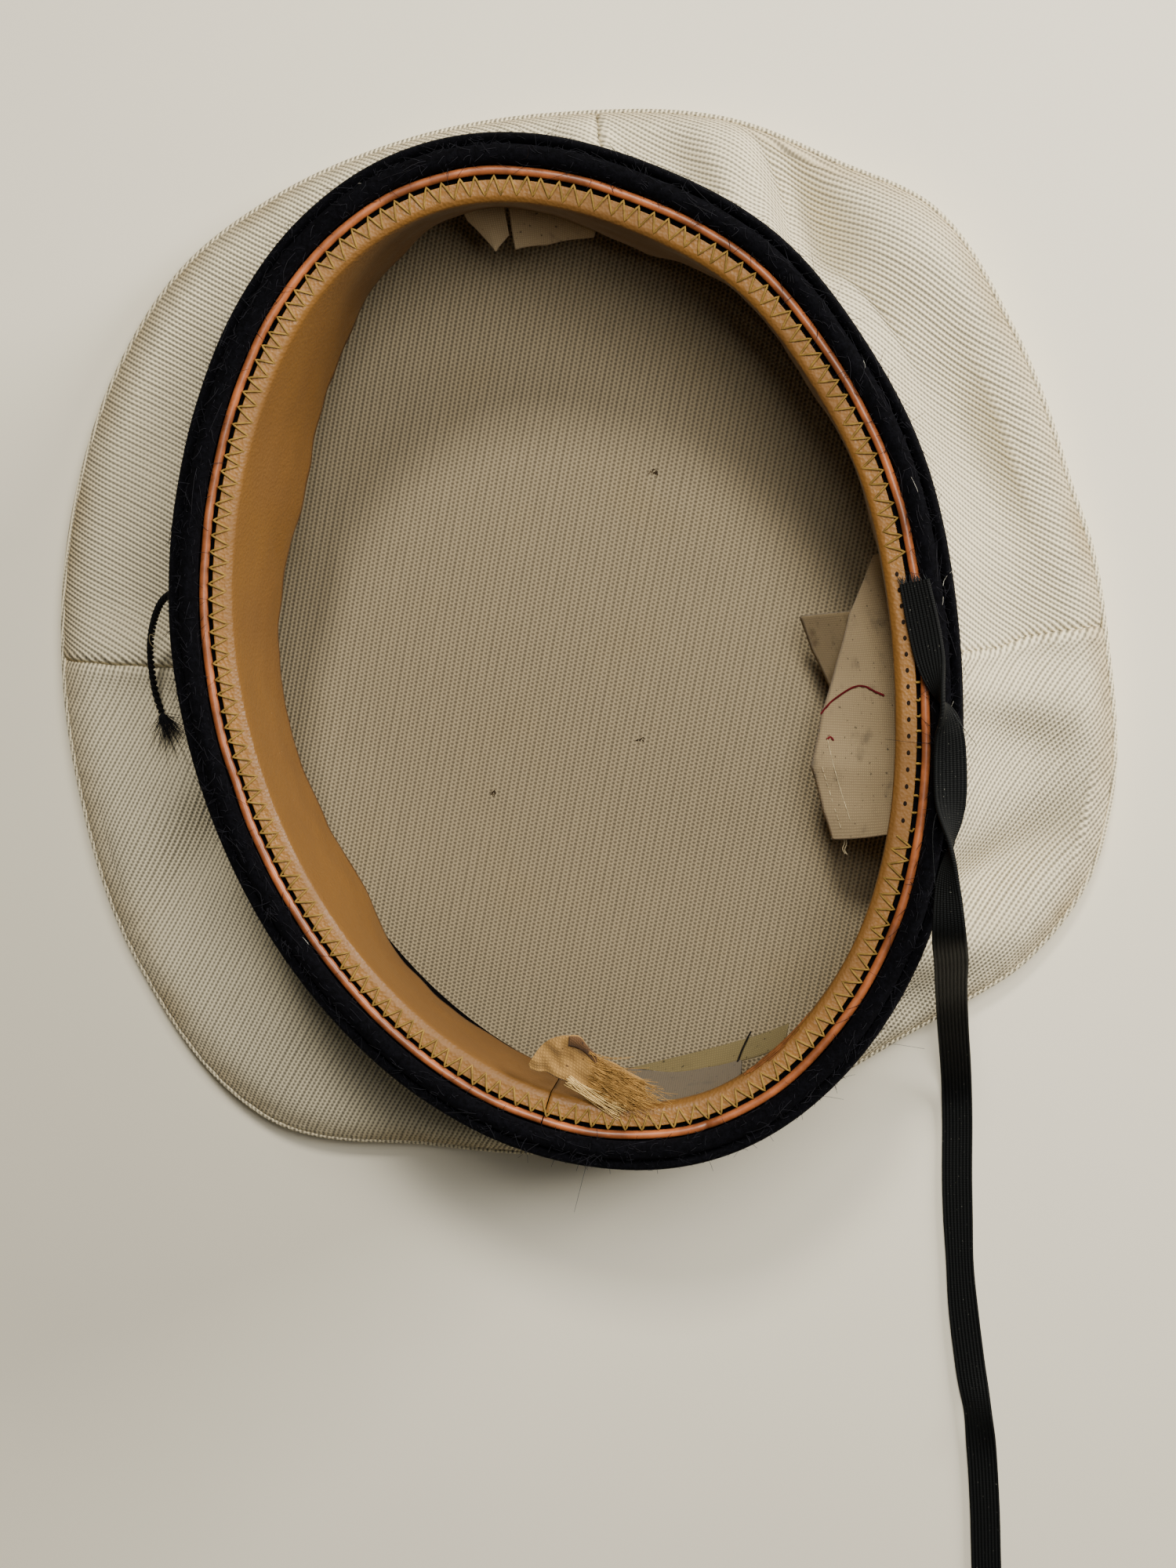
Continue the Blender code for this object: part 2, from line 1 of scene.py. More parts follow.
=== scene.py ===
# The looks of a white sailor's cap that lies crown down: ribbed cotton, navy wool, leather and elastic
"""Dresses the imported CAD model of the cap. Metres, +Z up, the front of the cap towards +Y."""

import json
import math
from collections import namedtuple

import bmesh
import bpy
import numpy as np
from bpy.props import FloatProperty, FloatVectorProperty, IntProperty, PointerProperty
from mathutils import Matrix, Vector

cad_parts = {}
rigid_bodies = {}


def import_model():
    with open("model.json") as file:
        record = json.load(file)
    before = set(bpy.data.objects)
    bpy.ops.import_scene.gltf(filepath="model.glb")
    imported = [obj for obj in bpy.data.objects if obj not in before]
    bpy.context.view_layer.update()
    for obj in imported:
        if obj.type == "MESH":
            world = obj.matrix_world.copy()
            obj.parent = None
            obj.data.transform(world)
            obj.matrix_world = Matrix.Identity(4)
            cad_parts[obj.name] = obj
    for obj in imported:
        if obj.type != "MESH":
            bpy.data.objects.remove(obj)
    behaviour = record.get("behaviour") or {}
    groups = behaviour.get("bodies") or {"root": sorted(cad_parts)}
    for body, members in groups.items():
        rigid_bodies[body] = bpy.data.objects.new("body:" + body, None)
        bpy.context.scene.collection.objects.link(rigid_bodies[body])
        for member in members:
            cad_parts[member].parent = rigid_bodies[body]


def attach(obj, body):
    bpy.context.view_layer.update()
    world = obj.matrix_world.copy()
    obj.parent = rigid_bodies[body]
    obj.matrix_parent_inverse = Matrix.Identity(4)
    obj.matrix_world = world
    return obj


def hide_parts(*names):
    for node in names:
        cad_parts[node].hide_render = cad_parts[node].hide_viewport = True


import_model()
# A new file's own cube, light and camera are no part of the cap
for left_over in [o for o in bpy.data.objects if o.name in ("Cube", "Light", "Camera")]:
    bpy.data.objects.remove(left_over)
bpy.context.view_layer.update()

bl_info = {
    "name": "Sailor cap",
    "version": (1, 0, 0),
    "blender": (4, 5, 0),
    "location": "3D View > Sidebar > Sailor cap",
    "description": "Builds a sailor's cap of cotton, wool and leather around its CAD model",
    "category": "Object",
}

MM = 0.001
MERGE = 0.001 * MM      # points nearer than this are one point

# The navy rim's outer edge, an egg-shaped ring seen from above, as the CAD has it
OPENING_CENTRE = np.array([4.2, -0.3]) * MM
RIM_HALF_WIDTH = 84 * MM
RIM_HALF_LENGTH = 112 * MM
RIM_TURN = 15           # degrees
Bump = namedtuple("Bump", "angle push spread")
RIM_BUMPS = [Bump(*row) for row in (
    (36, 2.3, 20), (62, 2.5, 14), (84, -0.6, 14), (146, -1.6, 25), (289, 1.0, 14), (350, -1.2, 22),
)]
BAND_FOOT = 36 * MM
BAND_BEND = 71 * MM

COTTON = 1.2 * MM
LEATHER = 1.2 * MM
TAPE = 1.0 * MM

# How far the band's foot and the leather's free edge lean inwards, and the free edge's height, in mm
RingSection = namedtuple("RingSection", "angle band_lean leather_lean leather_foot")
RING_SECTIONS = [RingSection(*row) for row in (
    (0, 5.0, 10.2, 44), (20, 5.0, 13.4, 44), (35, 5.5, 12.6, 44), (50, 5.5, 13.2, 44),
    (65, 5.0, 12.4, 44), (80, 5.0, 14.0, 44), (97, 5.0, 10.2, 44), (106, 5.5, 10.4, 44),
    (117, 6.0, 13.0, 44), (128, 6.5, 15.9, 44), (137, 7.0, 18.2, 44), (148, 7.5, 20.0, 44),
    (163, 8.0, 18.8, 44), (175, 8.5, 16.4, 44), (190, 9.0, 15.2, 44), (205, 8.5, 15.0, 44),
    (222, 8.5, 15.8, 44), (240, 8.5, 12.4, 44), (258, 7.5, 12.2, 45), (270, 5.0, 11.6, 48),
    (282, 3.5, 8.6, 53), (292, 3.0, 8.2, 51), (302, 4.0, 8.6, 46), (318, 4.5, 8.8, 44),
    (338, 5.0, 8.4, 44),
)]

# The white top's outline, its edge's lift off the table and its side panel's sag, in mm
CrownSection = namedtuple("CrownSection", "angle radius lift sag")
CROWN_SECTIONS = [CrownSection(*row) for row in (
    (0, 129.3, 9.0, 5.0), (11, 127.4, 8.5, 5.5), (20, 126.2, 8.0, 6.0), (36, 130.0, 10.0, 6.0),
    (50, 135.0, 13.0, 4.0), (61, 131.5, 12.0, 3.0), (73, 131.0, 12.0, 2.0), (90, 128.0, 10.0, 1.0),
    (108, 129.0, 9.0, 1.5), (124, 132.0, 8.0, 2.0), (136, 134.2, 7.5, 3.0), (149, 132.8, 7.5, 4.0),
    (160, 130.8, 8.0, 4.5), (172, 129.6, 8.0, 5.0), (185, 129.6, 8.0, 4.5), (198, 131.4, 8.0, 4.0),
    (216, 137.8, 7.5, 3.0), (237, 143.0, 9.0, 2.0), (254, 130.5, 9.0, 2.0), (275, 126.0, 10.0, 1.0),
    (295, 124.0, 10.0, 1.0), (309, 124.5, 11.0, 2.0), (318, 128.9, 10.0, 3.0), (326, 134.6, 9.0, 4.0),
    (336, 137.4, 9.0, 4.0), (346, 135.2, 9.0, 5.0),
)]
OUTLINE_STEPS = 80      # the CAD's facets round the cap, which set the middle of its outline
FIRST_SEAM = -2.0       # degrees

# The round top's section from the lip over its seam to its flat middle: mm inside the outline, and
# the height as a share of the edge's lift
DISC_ROLL = [
    (2.2, 0.92), (1.8, 1.04), (1.1, 1.09), (0.35, 1.0), (0.0, 0.75), (0.7, 0.45), (3.2, 0.20),
    (8.0, 0.06), (16.0, 0.0),
]
ROLL_STEPS = 26
MIDDLE_STEPS = 26
DISC_COLUMNS = 360
DISC_RIBS = 79          # degrees, the way that the ribs run, seen from above

# A side panel's section from the edge to the band: the share of the way in and the share up
PANEL_ROWS = [
    (0.00, 0.00), (0.07, 0.12), (0.16, 0.22), (0.30, 0.31), (0.45, 0.40), (0.62, 0.54), (0.80, 0.75),
    (1.00, 1.00),
]
PANEL_STEPS = 56
PANEL_COLUMN_TURN = 0.36       # degrees
PANEL_INSET = 2.2 * MM  # from the outline to the panel's edge, which lies inside the lip
SEAM_CLEAR = 0.4 * MM
PANEL_TUCK = 1.0 * MM
PANEL_CLEAR = 0.1 * MM

# Folds across the panels, from an angle at the edge to one at the band. Height is in mm
Fold = namedtuple("Fold", "edge_angle band_angle spread height start end")
FOLD_GAIN = 1.85        # the photograph's folds look this much higher than the table has them
FOLDS = [Fold(*row) for row in (
    (71, 58, 1.3, -1.3, 0.0, 1.1), (73.5, 60.5, 1.6, 0.9, 0.0, 1.1), (75, 66, 4.5, 3.5, 0.02, 0.95),
    (66, 55, 5.0, -4.0, 0.05, 0.90), (50, 46, 8.0, 3.0, 0.00, 0.60), (89, 89, 3.0, 1.5, 0.00, 1.00),
    (24, 30, 9.0, -2.5, 0.25, 0.90), (-6, -5, 4.0, 2.5, 0.05, 0.95), (-15, -38, 5.0, -3.5, 0.10, 0.95),
    (-30, -48, 6.0, 3.0, 0.05, 0.90), (180, 181, 3.5, 1.8, 0.02, 0.95),
    (206, 191, 6.0, 2.5, 0.08, 0.95), (216, 199, 6.0, -2.0, 0.08, 0.95),
    (236, 226, 8.0, 1.8, 0.05, 0.95), (150, 152, 10.0, -1.6, 0.15, 0.85),
)]

# A panel runs from one seam to the next. Its ribs run at an angle seen from above, in degrees
Panel = namedtuple("Panel", "start end ribs")
PANELS = {
    "panel_front_right": Panel("right", "front", -29),
    "panel_front_left": Panel("front", "left", -27),
    "panel_back_left": Panel("left", "back", 60),
    "panel_back_right": Panel("back", "right", 48),
}
# A seam's angle in the CAD, and how far the real one strays from it, from the edge to the band
SEAMS = {
    "right": (-2.0, [(0.0, 4.4), (0.2, 4.1), (0.41, 3.6), (0.6, 2.2), (0.8, 1.9), (1.0, 2.1)]),
    "front": (88.0, [(0.0, -1.2), (0.5, -1.6), (1.0, -0.3)]),
    "left": (182.5, [(0.0, -1.4), (0.25, -0.8), (0.55, -0.1), (1.0, 0.0)]),
    "back": (277.0, [(0.0, 0.0), (1.0, 0.0)]),
}
UNDERLAP_TURN = 1.3     # degrees that a panel goes on under the one that is sewn over it
LENGTH_PER_DEGREE = 2.1 * MM   # about a degree's way round the white top

# Where small stitches hold a panel's turned-in edge: x and y in mm
STITCHED_EDGES = {
    "panel_front_right": [(84.6, 47.2), (89.0, 30.0), (92.6, 14.0), (95.2, 4.5)],
    "panel_back_right": [(96.4, -2.5), (96.6, -14.0), (94.9, -31.0)],
}

# The rolled rim and the sewn edge of the leather: inset from the rim's outer edge, and height
ROLL_CENTRE = (4.7 * MM, 76.4 * MM)
ROLL_RADIUS = 2.05 * MM
ROLL_FIRST, ROLL_LAST = -45, 255
FLANGE_END = 10.4 * MM
FLANGE_TOP = 73.9 * MM
FLANGE_UNDER = 73.1 * MM
FLANGE_CORNER = 6.3 * MM
PIPING_INSET = 7.85 * MM
PIPING_HEIGHT = 75.4 * MM
PIPING_RADIUS = 0.95 * MM
LEATHER_START = (9.8 * MM, 75.6 * MM)
LEATHER_STRIP_END = (13.4 * MM, 74.8 * MM)
LEATHER_BEND = (14.2 * MM, 72.6 * MM)
JOINT_ANGLE = 266.6
JOINT_GAP_TURN = 0.08
WANDER_RING = 80 * MM   # wandering values that go once round are read on this ring
LEATHER_COLUMNS = 720
LEATHER_ROWS = 36
WALL_START = 0.45       # the share of the rows after which the leather hangs freely
PIPING_POINTS = 900
TEARS = 9
TEAR_TOP = 74.8         # mm
TEAR_STEP = 0.13        # mm down from one torn flake to the next

# Tapes under the leather's edge: angle, reach and drop in mm, and the turn of their free end
TAPES = {
    "side_tape": [
        (-26, 16.0, 15.5, -5.5), (-23, 19.5, 16.5, -4.0), (-17, 23.5, 17.0, -2.0),
        (-9.5, 21.0, 16.0, 0.0), (0, 16.0, 13.5, 0.0), (8, 11.0, 10.0, 0.0), (17.5, 2.0, 2.0, 0.0),
    ],
    "side_tape_stub": [(-5, 18.5, 20.0, 0.0), (2, 21.5, 22.0, 0.0), (8.5, 22.3, 21.0, 0.0)],
    "care_tape": [
        (275, 1.0, 24.0, 0.0), (280.5, 1.5, 28.0, 0.0), (286, 2.0, 29.0, 0.0), (291.5, 1.0, 28.0, 0.0),
    ],
    "front_tape": [(98.8, 6.0, 6.0, 0.0), (101.5, 9.0, 8.0, 0.0), (104.5, 1.5, 2.0, 0.0)],
    "front_lining_tape": [(86.0, 2.0, 2.0, 0.0), (93.0, 7.0, 7.0, 0.0), (98.2, 9.0, 8.0, 0.0)],
}
TAPE_CLEAR = 0.4 * MM
STUB_CLEAR = 4.1 * MM
TAPE_SAG = 1.3          # the power of the share of the way out at which a tape drops

# The chin strap and the cord at the left: x, y, z in mm, and the strap's roll in degrees
STRAP_WIDTH = 7.5 * MM
STRAP_STEPS = 420
STRAP_END_THREADS = 34
STRAP_ROUTE = [
    (78.2, 16.6, 78.9, 38), (80.2, 7.6, 79.1, 30), (82.0, -0.6, 80.6, 42), (84.2, -8.0, 83.3, 92),
    (85.6, -14.0, 81.8, 146), (86.1, -20.5, 80.6, 160), (86.3, -29.0, 81.0, 152), (86.3, -38.6, 83.0, 90),
    (86.0, -46.8, 82.8, 48), (86.6, -57.6, 80.8, 20), (88.2, -66.0, 64.0, 6), (89.6, -74.5, 44.5, 0),
    (91.0, -83.0, 27.5, 0), (92.2, -92.0, 17.0, 0), (93.4, -101.0, 8.5, 0), (94.3, -110.0, 2.2, 0),
    (94.7, -119.0, 0.9, 0), (95.0, -136.0, 0.9, 0), (96.4, -160.0, 0.9, 0), (98.9, -180.0, 1.0, 0),
    (101.0, -192.2, 2.6, 24), (102.4, -204.5, 1.0, 0), (103.4, -218.6, 0.9, 0), (104.1, -234.1, 0.9, 0),
    (105.0, -246.5, 0.9, 0),
]
CORD_ROUTE = [
    (-77.0, 15.0, 50.5), (-83.0, 14.6, 49.3), (-90.4, 13.2, 45.0), (-95.8, 9.0, 38.0),
    (-100.6, 0.5, 28.5), (-102.0, -10.0, 21.4), (-100.4, -15.8, 21.4),
]
PLY_TWIST = 3.1 * MM     # the way along for one full turn
PLY_OFFSET = 0.46 * MM
PLY_RADIUS = 0.44 * MM
TUFT_LENGTH = 8 * MM
TUFT_FIBRES = 150

# Specks of lint on the lining: x and y in mm, and how many threads each has
LINT = [(18.8, 42.3, 9), (15.5, -23.0, 6), (-21.5, -36.7, 6)]

# The band's section: the heights of its outer face, top and inner face, and its insets, in mm
BAND_HEIGHTS = np.array([
    36, 45, 54, 63, 71, 74.2, 75.9, 76.8, 77.1, 76.7, 75.8, 74.2, 71, 63, 54, 45, 36, 36,
])
BAND_INSETS = np.array([
    0, 0, 0, 0, 0, 0, 0.15, 0.6, 1.15, 1.7, 2.15, 2.25, 2.3, 2.3, 2.3, 2.3, 2.3, 0,
])
WAVY_FROM = 74 * MM     # the height from which the band's top is a little wavy
ROUND_COLUMNS = 480
HAIRS_PER_PALE = 260    # one pale hair lies on the wool for so many dark ones
PALE_LENGTH = 2.6 * MM
ROLL_POINTS = 20
FLANGE_POINTS = 4

# The zigzag runs over these insets. Its thread is gone between two angles, where holes are left
ZIGZAG_OUTER = 9.0 * MM
ZIGZAG_MIDDLE = 11.4 * MM
ZIGZAG_INNER = 12.8     # mm
THREAD_GONE = (-24.5, 15.5)
HOLES = 16
FIRST_HOLE = 14.0       # degrees
HOLE_TURN = 2.43        # degrees from one hole to the next
HOLE_RADIUS = 0.42 * MM

# The ribbon's long edges seen from above, in mm, its folded tip as rows and columns, and its strands
RIBBON_EDGES = [
    [
        (-3.0, -87.9), (-0.6, -84.4), (1.7, -82.4), (5.4, -81.2), (8.6, -81.6), (11.6, -85.2),
        (16.8, -87.8), (22.4, -91.0),
    ],
    [
        (-2.7, -88.8), (-1.0, -89.6), (1.1, -89.8), (4.4, -91.2), (8.4, -93.4), (12.4, -95.4),
        (17.0, -97.4), (22.6, -95.2),
    ],
]
RIBBON_STEPS = 60
RIBBON_ROWS = 28
RIBBON_HEIGHT = 75.9 * MM
RIBBON_TIP = (slice(21, 28), slice(27, 44))
BRUSH_STRANDS = 260
BRUSH_START = 38        # the first column that they grow from
GLOSSY_STRANDS = 34

# The camera's place and lens, found from the photograph, and its tip off straight down in degrees
CAMERA_PLACE = (0.05703, 0.02067, 0.52308)
CAMERA_TIP = 6
CAMERA_LENS = 48.56
CAMERA_FILM = 36
LIGHTS_AIM = Vector((0, 0, 0.03))
Lamp = namedtuple("Lamp", "name power place size colour")
LAMPS = [
    Lamp("key_light", "key_power", (0.0, 0.74, 1.20), 0.2, (1.0, 0.95, 0.86)),
    Lamp("fill_light", "fill_power", (0.14, 0.13, 0.58), 0.2, (1.0, 0.97, 0.92)),
    Lamp("low_light", "low_power", (0.90, 0.50, 0.40), 0.4, (1.0, 0.96, 0.90)),
]
WORLD_STRENGTH = 0.06


def linear(code):
    """The linear red, green, blue and alpha of an sRGB hex colour."""
    parts = [int(code[i:i + 2], 16) / 255 for i in (1, 3, 5)]
    return (*(c / 12.92 if c <= 0.04045 else ((c + 0.055) / 1.055) ** 2.4 for c in parts), 1.0)


def tone(name, description, code):
    """A colour setting, from a hex colour."""
    return FloatVectorProperty(
        name=name, description=description, subtype="COLOR", default=linear(code)[:3]
    )


def size(name, description, default):
    """A length setting, in metres."""
    return FloatProperty(name=name, description=description, default=default, unit="LENGTH")


def power(name, description, default):
    """A light's setting, in watts."""
    return FloatProperty(name=name, description=description, default=default, unit="POWER")


class CottonSettings(bpy.types.PropertyGroup):
    colour: tone("Cotton", "Colour of the clean cloth", "#f3e6c2")
    lining: tone("Reverse", "Colour of the cloth's unbleached reverse", "#b5a482")
    aged: tone("Aged cotton", "Colour of the cloth that has yellowed along the rim", "#b39a68")
    rib_pitch: size("Rib pitch", "From one rib of the cloth to the next", 1.07 * MM)
    thread_pitch: size("Thread pitch", "From one crossing thread to the next", 1.0 * MM)


class WoolSettings(bpy.types.PropertyGroup):
    colour: tone("Wool", "Colour of the navy cloth", "#060609")
    hairs: IntProperty(
        name="Loose hairs", description="How many hairs stand off the wool", default=5200, min=0
    )
    hair_length: size("Hair length", "Length of the longest usual hairs", 3.0 * MM)


class LeatherSettings(bpy.types.PropertyGroup):
    colour: tone("Leather", "Colour of the sweatband", "#91642c")
    piping: tone("Piping", "Colour of the coated piping", "#a05a30")
    thread: tone("Thread", "Colour of the zigzag thread", "#876a30")
    stitch_pitch: size("Stitch pitch", "From one zigzag to the next", 3.4 * MM)


class TapeSettings(bpy.types.PropertyGroup):
    linen: tone("Linen", "Colour of the sewn-in tapes", "#b8a27c")
    stub: tone("Stained tape", "Colour of the glued tapes", "#8f7c58")
    red_thread: tone("Red thread", "Colour of the tacking thread", "#6d1420")
    ribbon: tone("Ribbon", "Colour of the frayed ribbon", "#a27b40")


class ElasticSettings(bpy.types.PropertyGroup):
    colour: tone("Elastic", "Colour of the chin strap", "#090b0b")
    ribs: IntProperty(name="Ribs", description="Lengthwise ribs across the strap", default=9, min=3)


class StageSettings(bpy.types.PropertyGroup):
    floor: tone("Floor", "Colour of the floor", "#efe8d3")
    key_power: power("Key light", "Power of the main light", 12)
    fill_power: power("Fill light", "Power of the near light that looks into the cap", 2.7)
    low_power: power("Low light", "Power of the low side light", 17)


def read(table, column, angle):
    """A column's value at angles, on a smooth closed curve through the table's rows."""
    rows = np.array(table, float)
    column = table[0]._fields.index(column)
    angles = np.concatenate([rows[-2:, 0] - 360, rows[:, 0], rows[:2, 0] + 360])
    values = np.concatenate([rows[-2:, column], rows[:, column], rows[:2, column]])
    angle = (np.asarray(angle, float) - rows[0, 0]) % 360 + rows[0, 0]
    i = np.searchsorted(angles, angle, side="right") - 1
    span = angles[i + 1] - angles[i]
    slope_in = (values[i + 1] - values[i - 1]) / (angles[i + 1] - angles[i - 1]) * span
    slope_out = (values[i + 2] - values[i]) / (angles[i + 2] - angles[i]) * span
    t = (angle - angles[i]) / span
    return (
        (2 * t**3 - 3 * t**2 + 1) * values[i]
        + (t**3 - 2 * t**2 + t) * slope_in
        + (3 * t**2 - 2 * t**3) * values[i + 1]
        + (t**3 - t**2) * slope_out
    )


def smooth_route(points, steps):
    """Steps + 1 points on a smooth curve through the route's own points."""
    points = np.array(points, float)
    at = np.linspace(0, len(points) - 1, steps + 1)
    i = np.minimum(at.astype(int), len(points) - 2)
    t = (at - i).reshape(-1, *[1] * (points.ndim - 1))
    a, b, c, d = (points[np.clip(i + k, 0, len(points) - 1)] for k in (-1, 0, 1, 2))
    square, cube = 2 * a - 5 * b + 4 * c - d, 3 * b - a - 3 * c + d
    return 0.5 * (2 * b + (c - a) * t + square * t**2 + cube * t**3)


def angle_between(a, b):
    """How far one angle is past another, from -180 to 180 degrees."""
    return (a - b + 180) % 360 - 180


def bell(values, spread):
    """1 at nothing, falling off smoothly over a spread to both sides."""
    return np.exp(-((values / spread) ** 2))


def compass(angle):
    """The direction of an angle, as x and y."""
    return np.stack([np.cos(np.radians(angle)), np.sin(np.radians(angle))], -1)


def drift(spots, size, seed):
    """Smooth wandering values, about -1 to 1, that change over a size in metres."""
    luck = np.random.default_rng(seed)
    total = 0.0
    for _ in range(7):
        way = luck.normal(size=spots.shape[-1])
        way *= luck.uniform(0.6, 1.5) * 2 * np.pi / size / np.linalg.norm(way)
        total = total + np.sin(spots @ way + luck.uniform(0, 2 * np.pi))
    return total / 4


def rim_edge(angle):
    """The rim's outer edge, seen from above."""
    turned = np.radians(angle - RIM_TURN)
    radius = RIM_HALF_WIDTH * RIM_HALF_LENGTH / np.hypot(
        RIM_HALF_LENGTH * np.cos(turned), RIM_HALF_WIDTH * np.sin(turned)
    )
    for bump in RIM_BUMPS:
        radius = radius + bump.push * MM * bell(angle_between(angle, bump.angle), bump.spread)
    return OPENING_CENTRE + radius[..., None] * compass(angle)


def rim_inset(angle, inset, height):
    """Points that lie inset inside the rim's outer edge, measured square to the edge."""
    angle, inset, height = np.broadcast_arrays(np.asarray(angle, float), inset, height)
    along = rim_edge(angle + 1) - rim_edge(angle - 1)
    inwards = np.stack([-along[..., 1], along[..., 0]], -1)
    inwards = inwards / np.linalg.norm(inwards, axis=-1, keepdims=True)
    spot = rim_edge(angle) + inset[..., None] * inwards
    return np.concatenate([spot, height[..., None]], -1)


def crown_middle():
    """The middle of the box round the white top's outline, which the CAD puts at the origin."""
    angle = FIRST_SEAM + np.arange(OUTLINE_STEPS) * 360 / OUTLINE_STEPS
    outline = read(CROWN_SECTIONS, "radius", angle)[:, None] * MM * compass(angle)
    return (outline.min(0) + outline.max(0)) / 2


CROWN_MIDDLE = crown_middle()


def crown_edge(angle, inside, height):
    """Points that lie inside the white top's outline, on the way to its middle."""
    angle, inside, height = np.broadcast_arrays(np.asarray(angle, float), inside, height)
    radius = read(CROWN_SECTIONS, "radius", angle) * MM - inside
    return np.concatenate([radius[..., None] * compass(angle) - CROWN_MIDDLE, height[..., None]], -1)


def band_inset(angle, height):
    """How far the band's outer face lies inside the rim's edge at a height."""
    down = np.maximum(0.0, (BAND_BEND - height) / (BAND_BEND - BAND_FOOT))
    return down * read(RING_SECTIONS, "band_lean", angle) * MM


def joint_angle(share):
    """Angles from one end of the sweatband to the other, once round."""
    return JOINT_ANGLE + JOINT_GAP_TURN + share * (360 - 2 * JOINT_GAP_TURN)


def arc_length(spots):
    """How far along a line each of its points is."""
    steps = np.linalg.norm(np.diff(spots, axis=0), axis=-1)
    return np.concatenate([np.zeros_like(steps[:1]), np.cumsum(steps, axis=0)])


def add_piece(name, mesh):
    piece = bpy.data.objects.new(name, mesh)
    bpy.context.scene.collection.objects.link(piece)
    mesh.shade_smooth()
    return piece


def cloth(name, spots, weave, place=None, closed=False, solid=False, capped=False):
    """A grid through an array of spots[row, column]. Its UV maps hold the same points' places on the
    flat cloth, in metres, and their shares of the way round and across. A closed grid's edges meet,
    and a capped one's open ends are filled."""
    rows, columns = spots.shape[0] - 1, spots.shape[1] - 1
    if place is None:
        place = np.stack(np.meshgrid(np.linspace(0, 1, columns + 1), np.linspace(0, 1, rows + 1)), -1)
    grid = bmesh.new()
    bmesh.ops.create_grid(grid, x_segments=columns, y_segments=rows, size=0.5)
    mesh = bpy.data.meshes.new(name)
    grid.to_mesh(mesh)
    flat = np.zeros(len(mesh.vertices) * 3, np.float32)
    mesh.vertices.foreach_get("co", flat)
    column = np.rint((flat[0::3] + 0.5) * columns).astype(int)
    row = np.rint((flat[1::3] + 0.5) * rows).astype(int)
    mesh.vertices.foreach_set("co", spots[row, column].astype(np.float32).ravel())
    corner = np.zeros(len(mesh.loops), np.int32)
    mesh.loops.foreach_get("vertex_index", corner)
    for layer, values in (("weave", weave), ("place", place)):
        uv = mesh.uv_layers.new(name=layer)
        uv.data.foreach_set("uv", values[row, column][corner].astype(np.float32).ravel())
    if closed:
        grid.clear()
        grid.from_mesh(mesh)
        bmesh.ops.remove_doubles(grid, verts=grid.verts, dist=MERGE)
        if capped:
            bmesh.ops.holes_fill(grid, edges=grid.edges, sides=0)
        if solid or capped:
            bmesh.ops.recalc_face_normals(grid, faces=grid.faces)
        grid.to_mesh(mesh)
    grid.free()
    return add_piece(name, mesh)


def wall(piece, thickness, side, reverse=0):
    """Gives a sheet its thickness, along its normals for side 1 and against them for -1. With reverse
    1, the face on the side where the thickness grows shows the first of the piece's two materials."""
    made = piece.modifiers.new("Wall", "SOLIDIFY")
    made.material_offset = reverse
    made.thickness = thickness
    made.offset = side
    made.use_quality_normals = True
    return piece


def strands(name, lines, radius, taper=1.0, sides=0):
    """Thin tubes along lines, as one mesh: threads, hairs and fibres. Taper is the far end's share of
    the radius, and sides adds smoothness."""
    curve = bpy.data.curves.new(name, "CURVE")
    curve.dimensions = "3D"
    curve.bevel_depth = radius
    curve.bevel_resolution = sides
    curve.use_fill_caps = True
    for line in lines:
        spline = curve.splines.new("POLY")
        spline.points.add(len(line) - 1)
        spline.points.foreach_set("co", np.column_stack([line, np.ones(len(line))]).ravel())
        spline.points.foreach_set("radius", np.linspace(1, taper, len(line)))
    holder = bpy.data.objects.new(name + "_line", curve)
    bpy.context.scene.collection.objects.link(holder)
    graph = bpy.context.evaluated_depsgraph_get()
    mesh = bpy.data.meshes.new_from_object(holder.evaluated_get(graph))
    mesh.name = name
    bpy.data.objects.remove(holder)
    bpy.data.curves.remove(curve)
    return add_piece(name, mesh)


def flat_weave(spots, row=0):
    """Places on the flat cloth: how far along one row of a grid, and how far down its columns."""
    return np.stack([np.broadcast_to(arc_length(spots[row]), spots.shape[:2]), arc_length(spots)], -1)


def cross_frame(line):
    """The level and the upright direction across a line, at each of its points."""
    ahead = np.gradient(line, axis=0)
    level = np.cross(ahead, [0, 0, 1])
    level /= np.linalg.norm(level, axis=1, keepdims=True)
    upright = np.cross(level, ahead)
    return level, upright / np.linalg.norm(upright, axis=1, keepdims=True)


def dress(piece, material, slot, *nodes, reverse=None):
    """Gives a piece its material and the cap's body, and hides the nodes that it stands for.
    Its slot is not used.
    """
    piece.data.materials.clear()
    piece.data.materials.append(material)
    if reverse is not None:
        piece.data.materials.append(reverse)
    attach(piece, "root")
    if nodes:
        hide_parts(*nodes)
    return piece


def laid_on(surface, line, lift, steps=0):
    """A line of x and y in mm, smoothed over steps, laid on a surface's nearest points plus a lift."""
    line = np.array(line, float) * MM
    if steps:
        line = smooth_route(line, steps)
    flat = surface.reshape(-1, 3)
    nearest = [np.argmin(((flat[:, :2] - spot) ** 2).sum(1)) for spot in line]
    return np.column_stack([line, flat[nearest, 2] + lift])


def turned(spots, degrees):
    """x and y measured along and across a direction."""
    along, across = compass(degrees), compass(degrees + 90)
    return np.stack([spots[..., :2] @ along, spots[..., :2] @ across], -1)


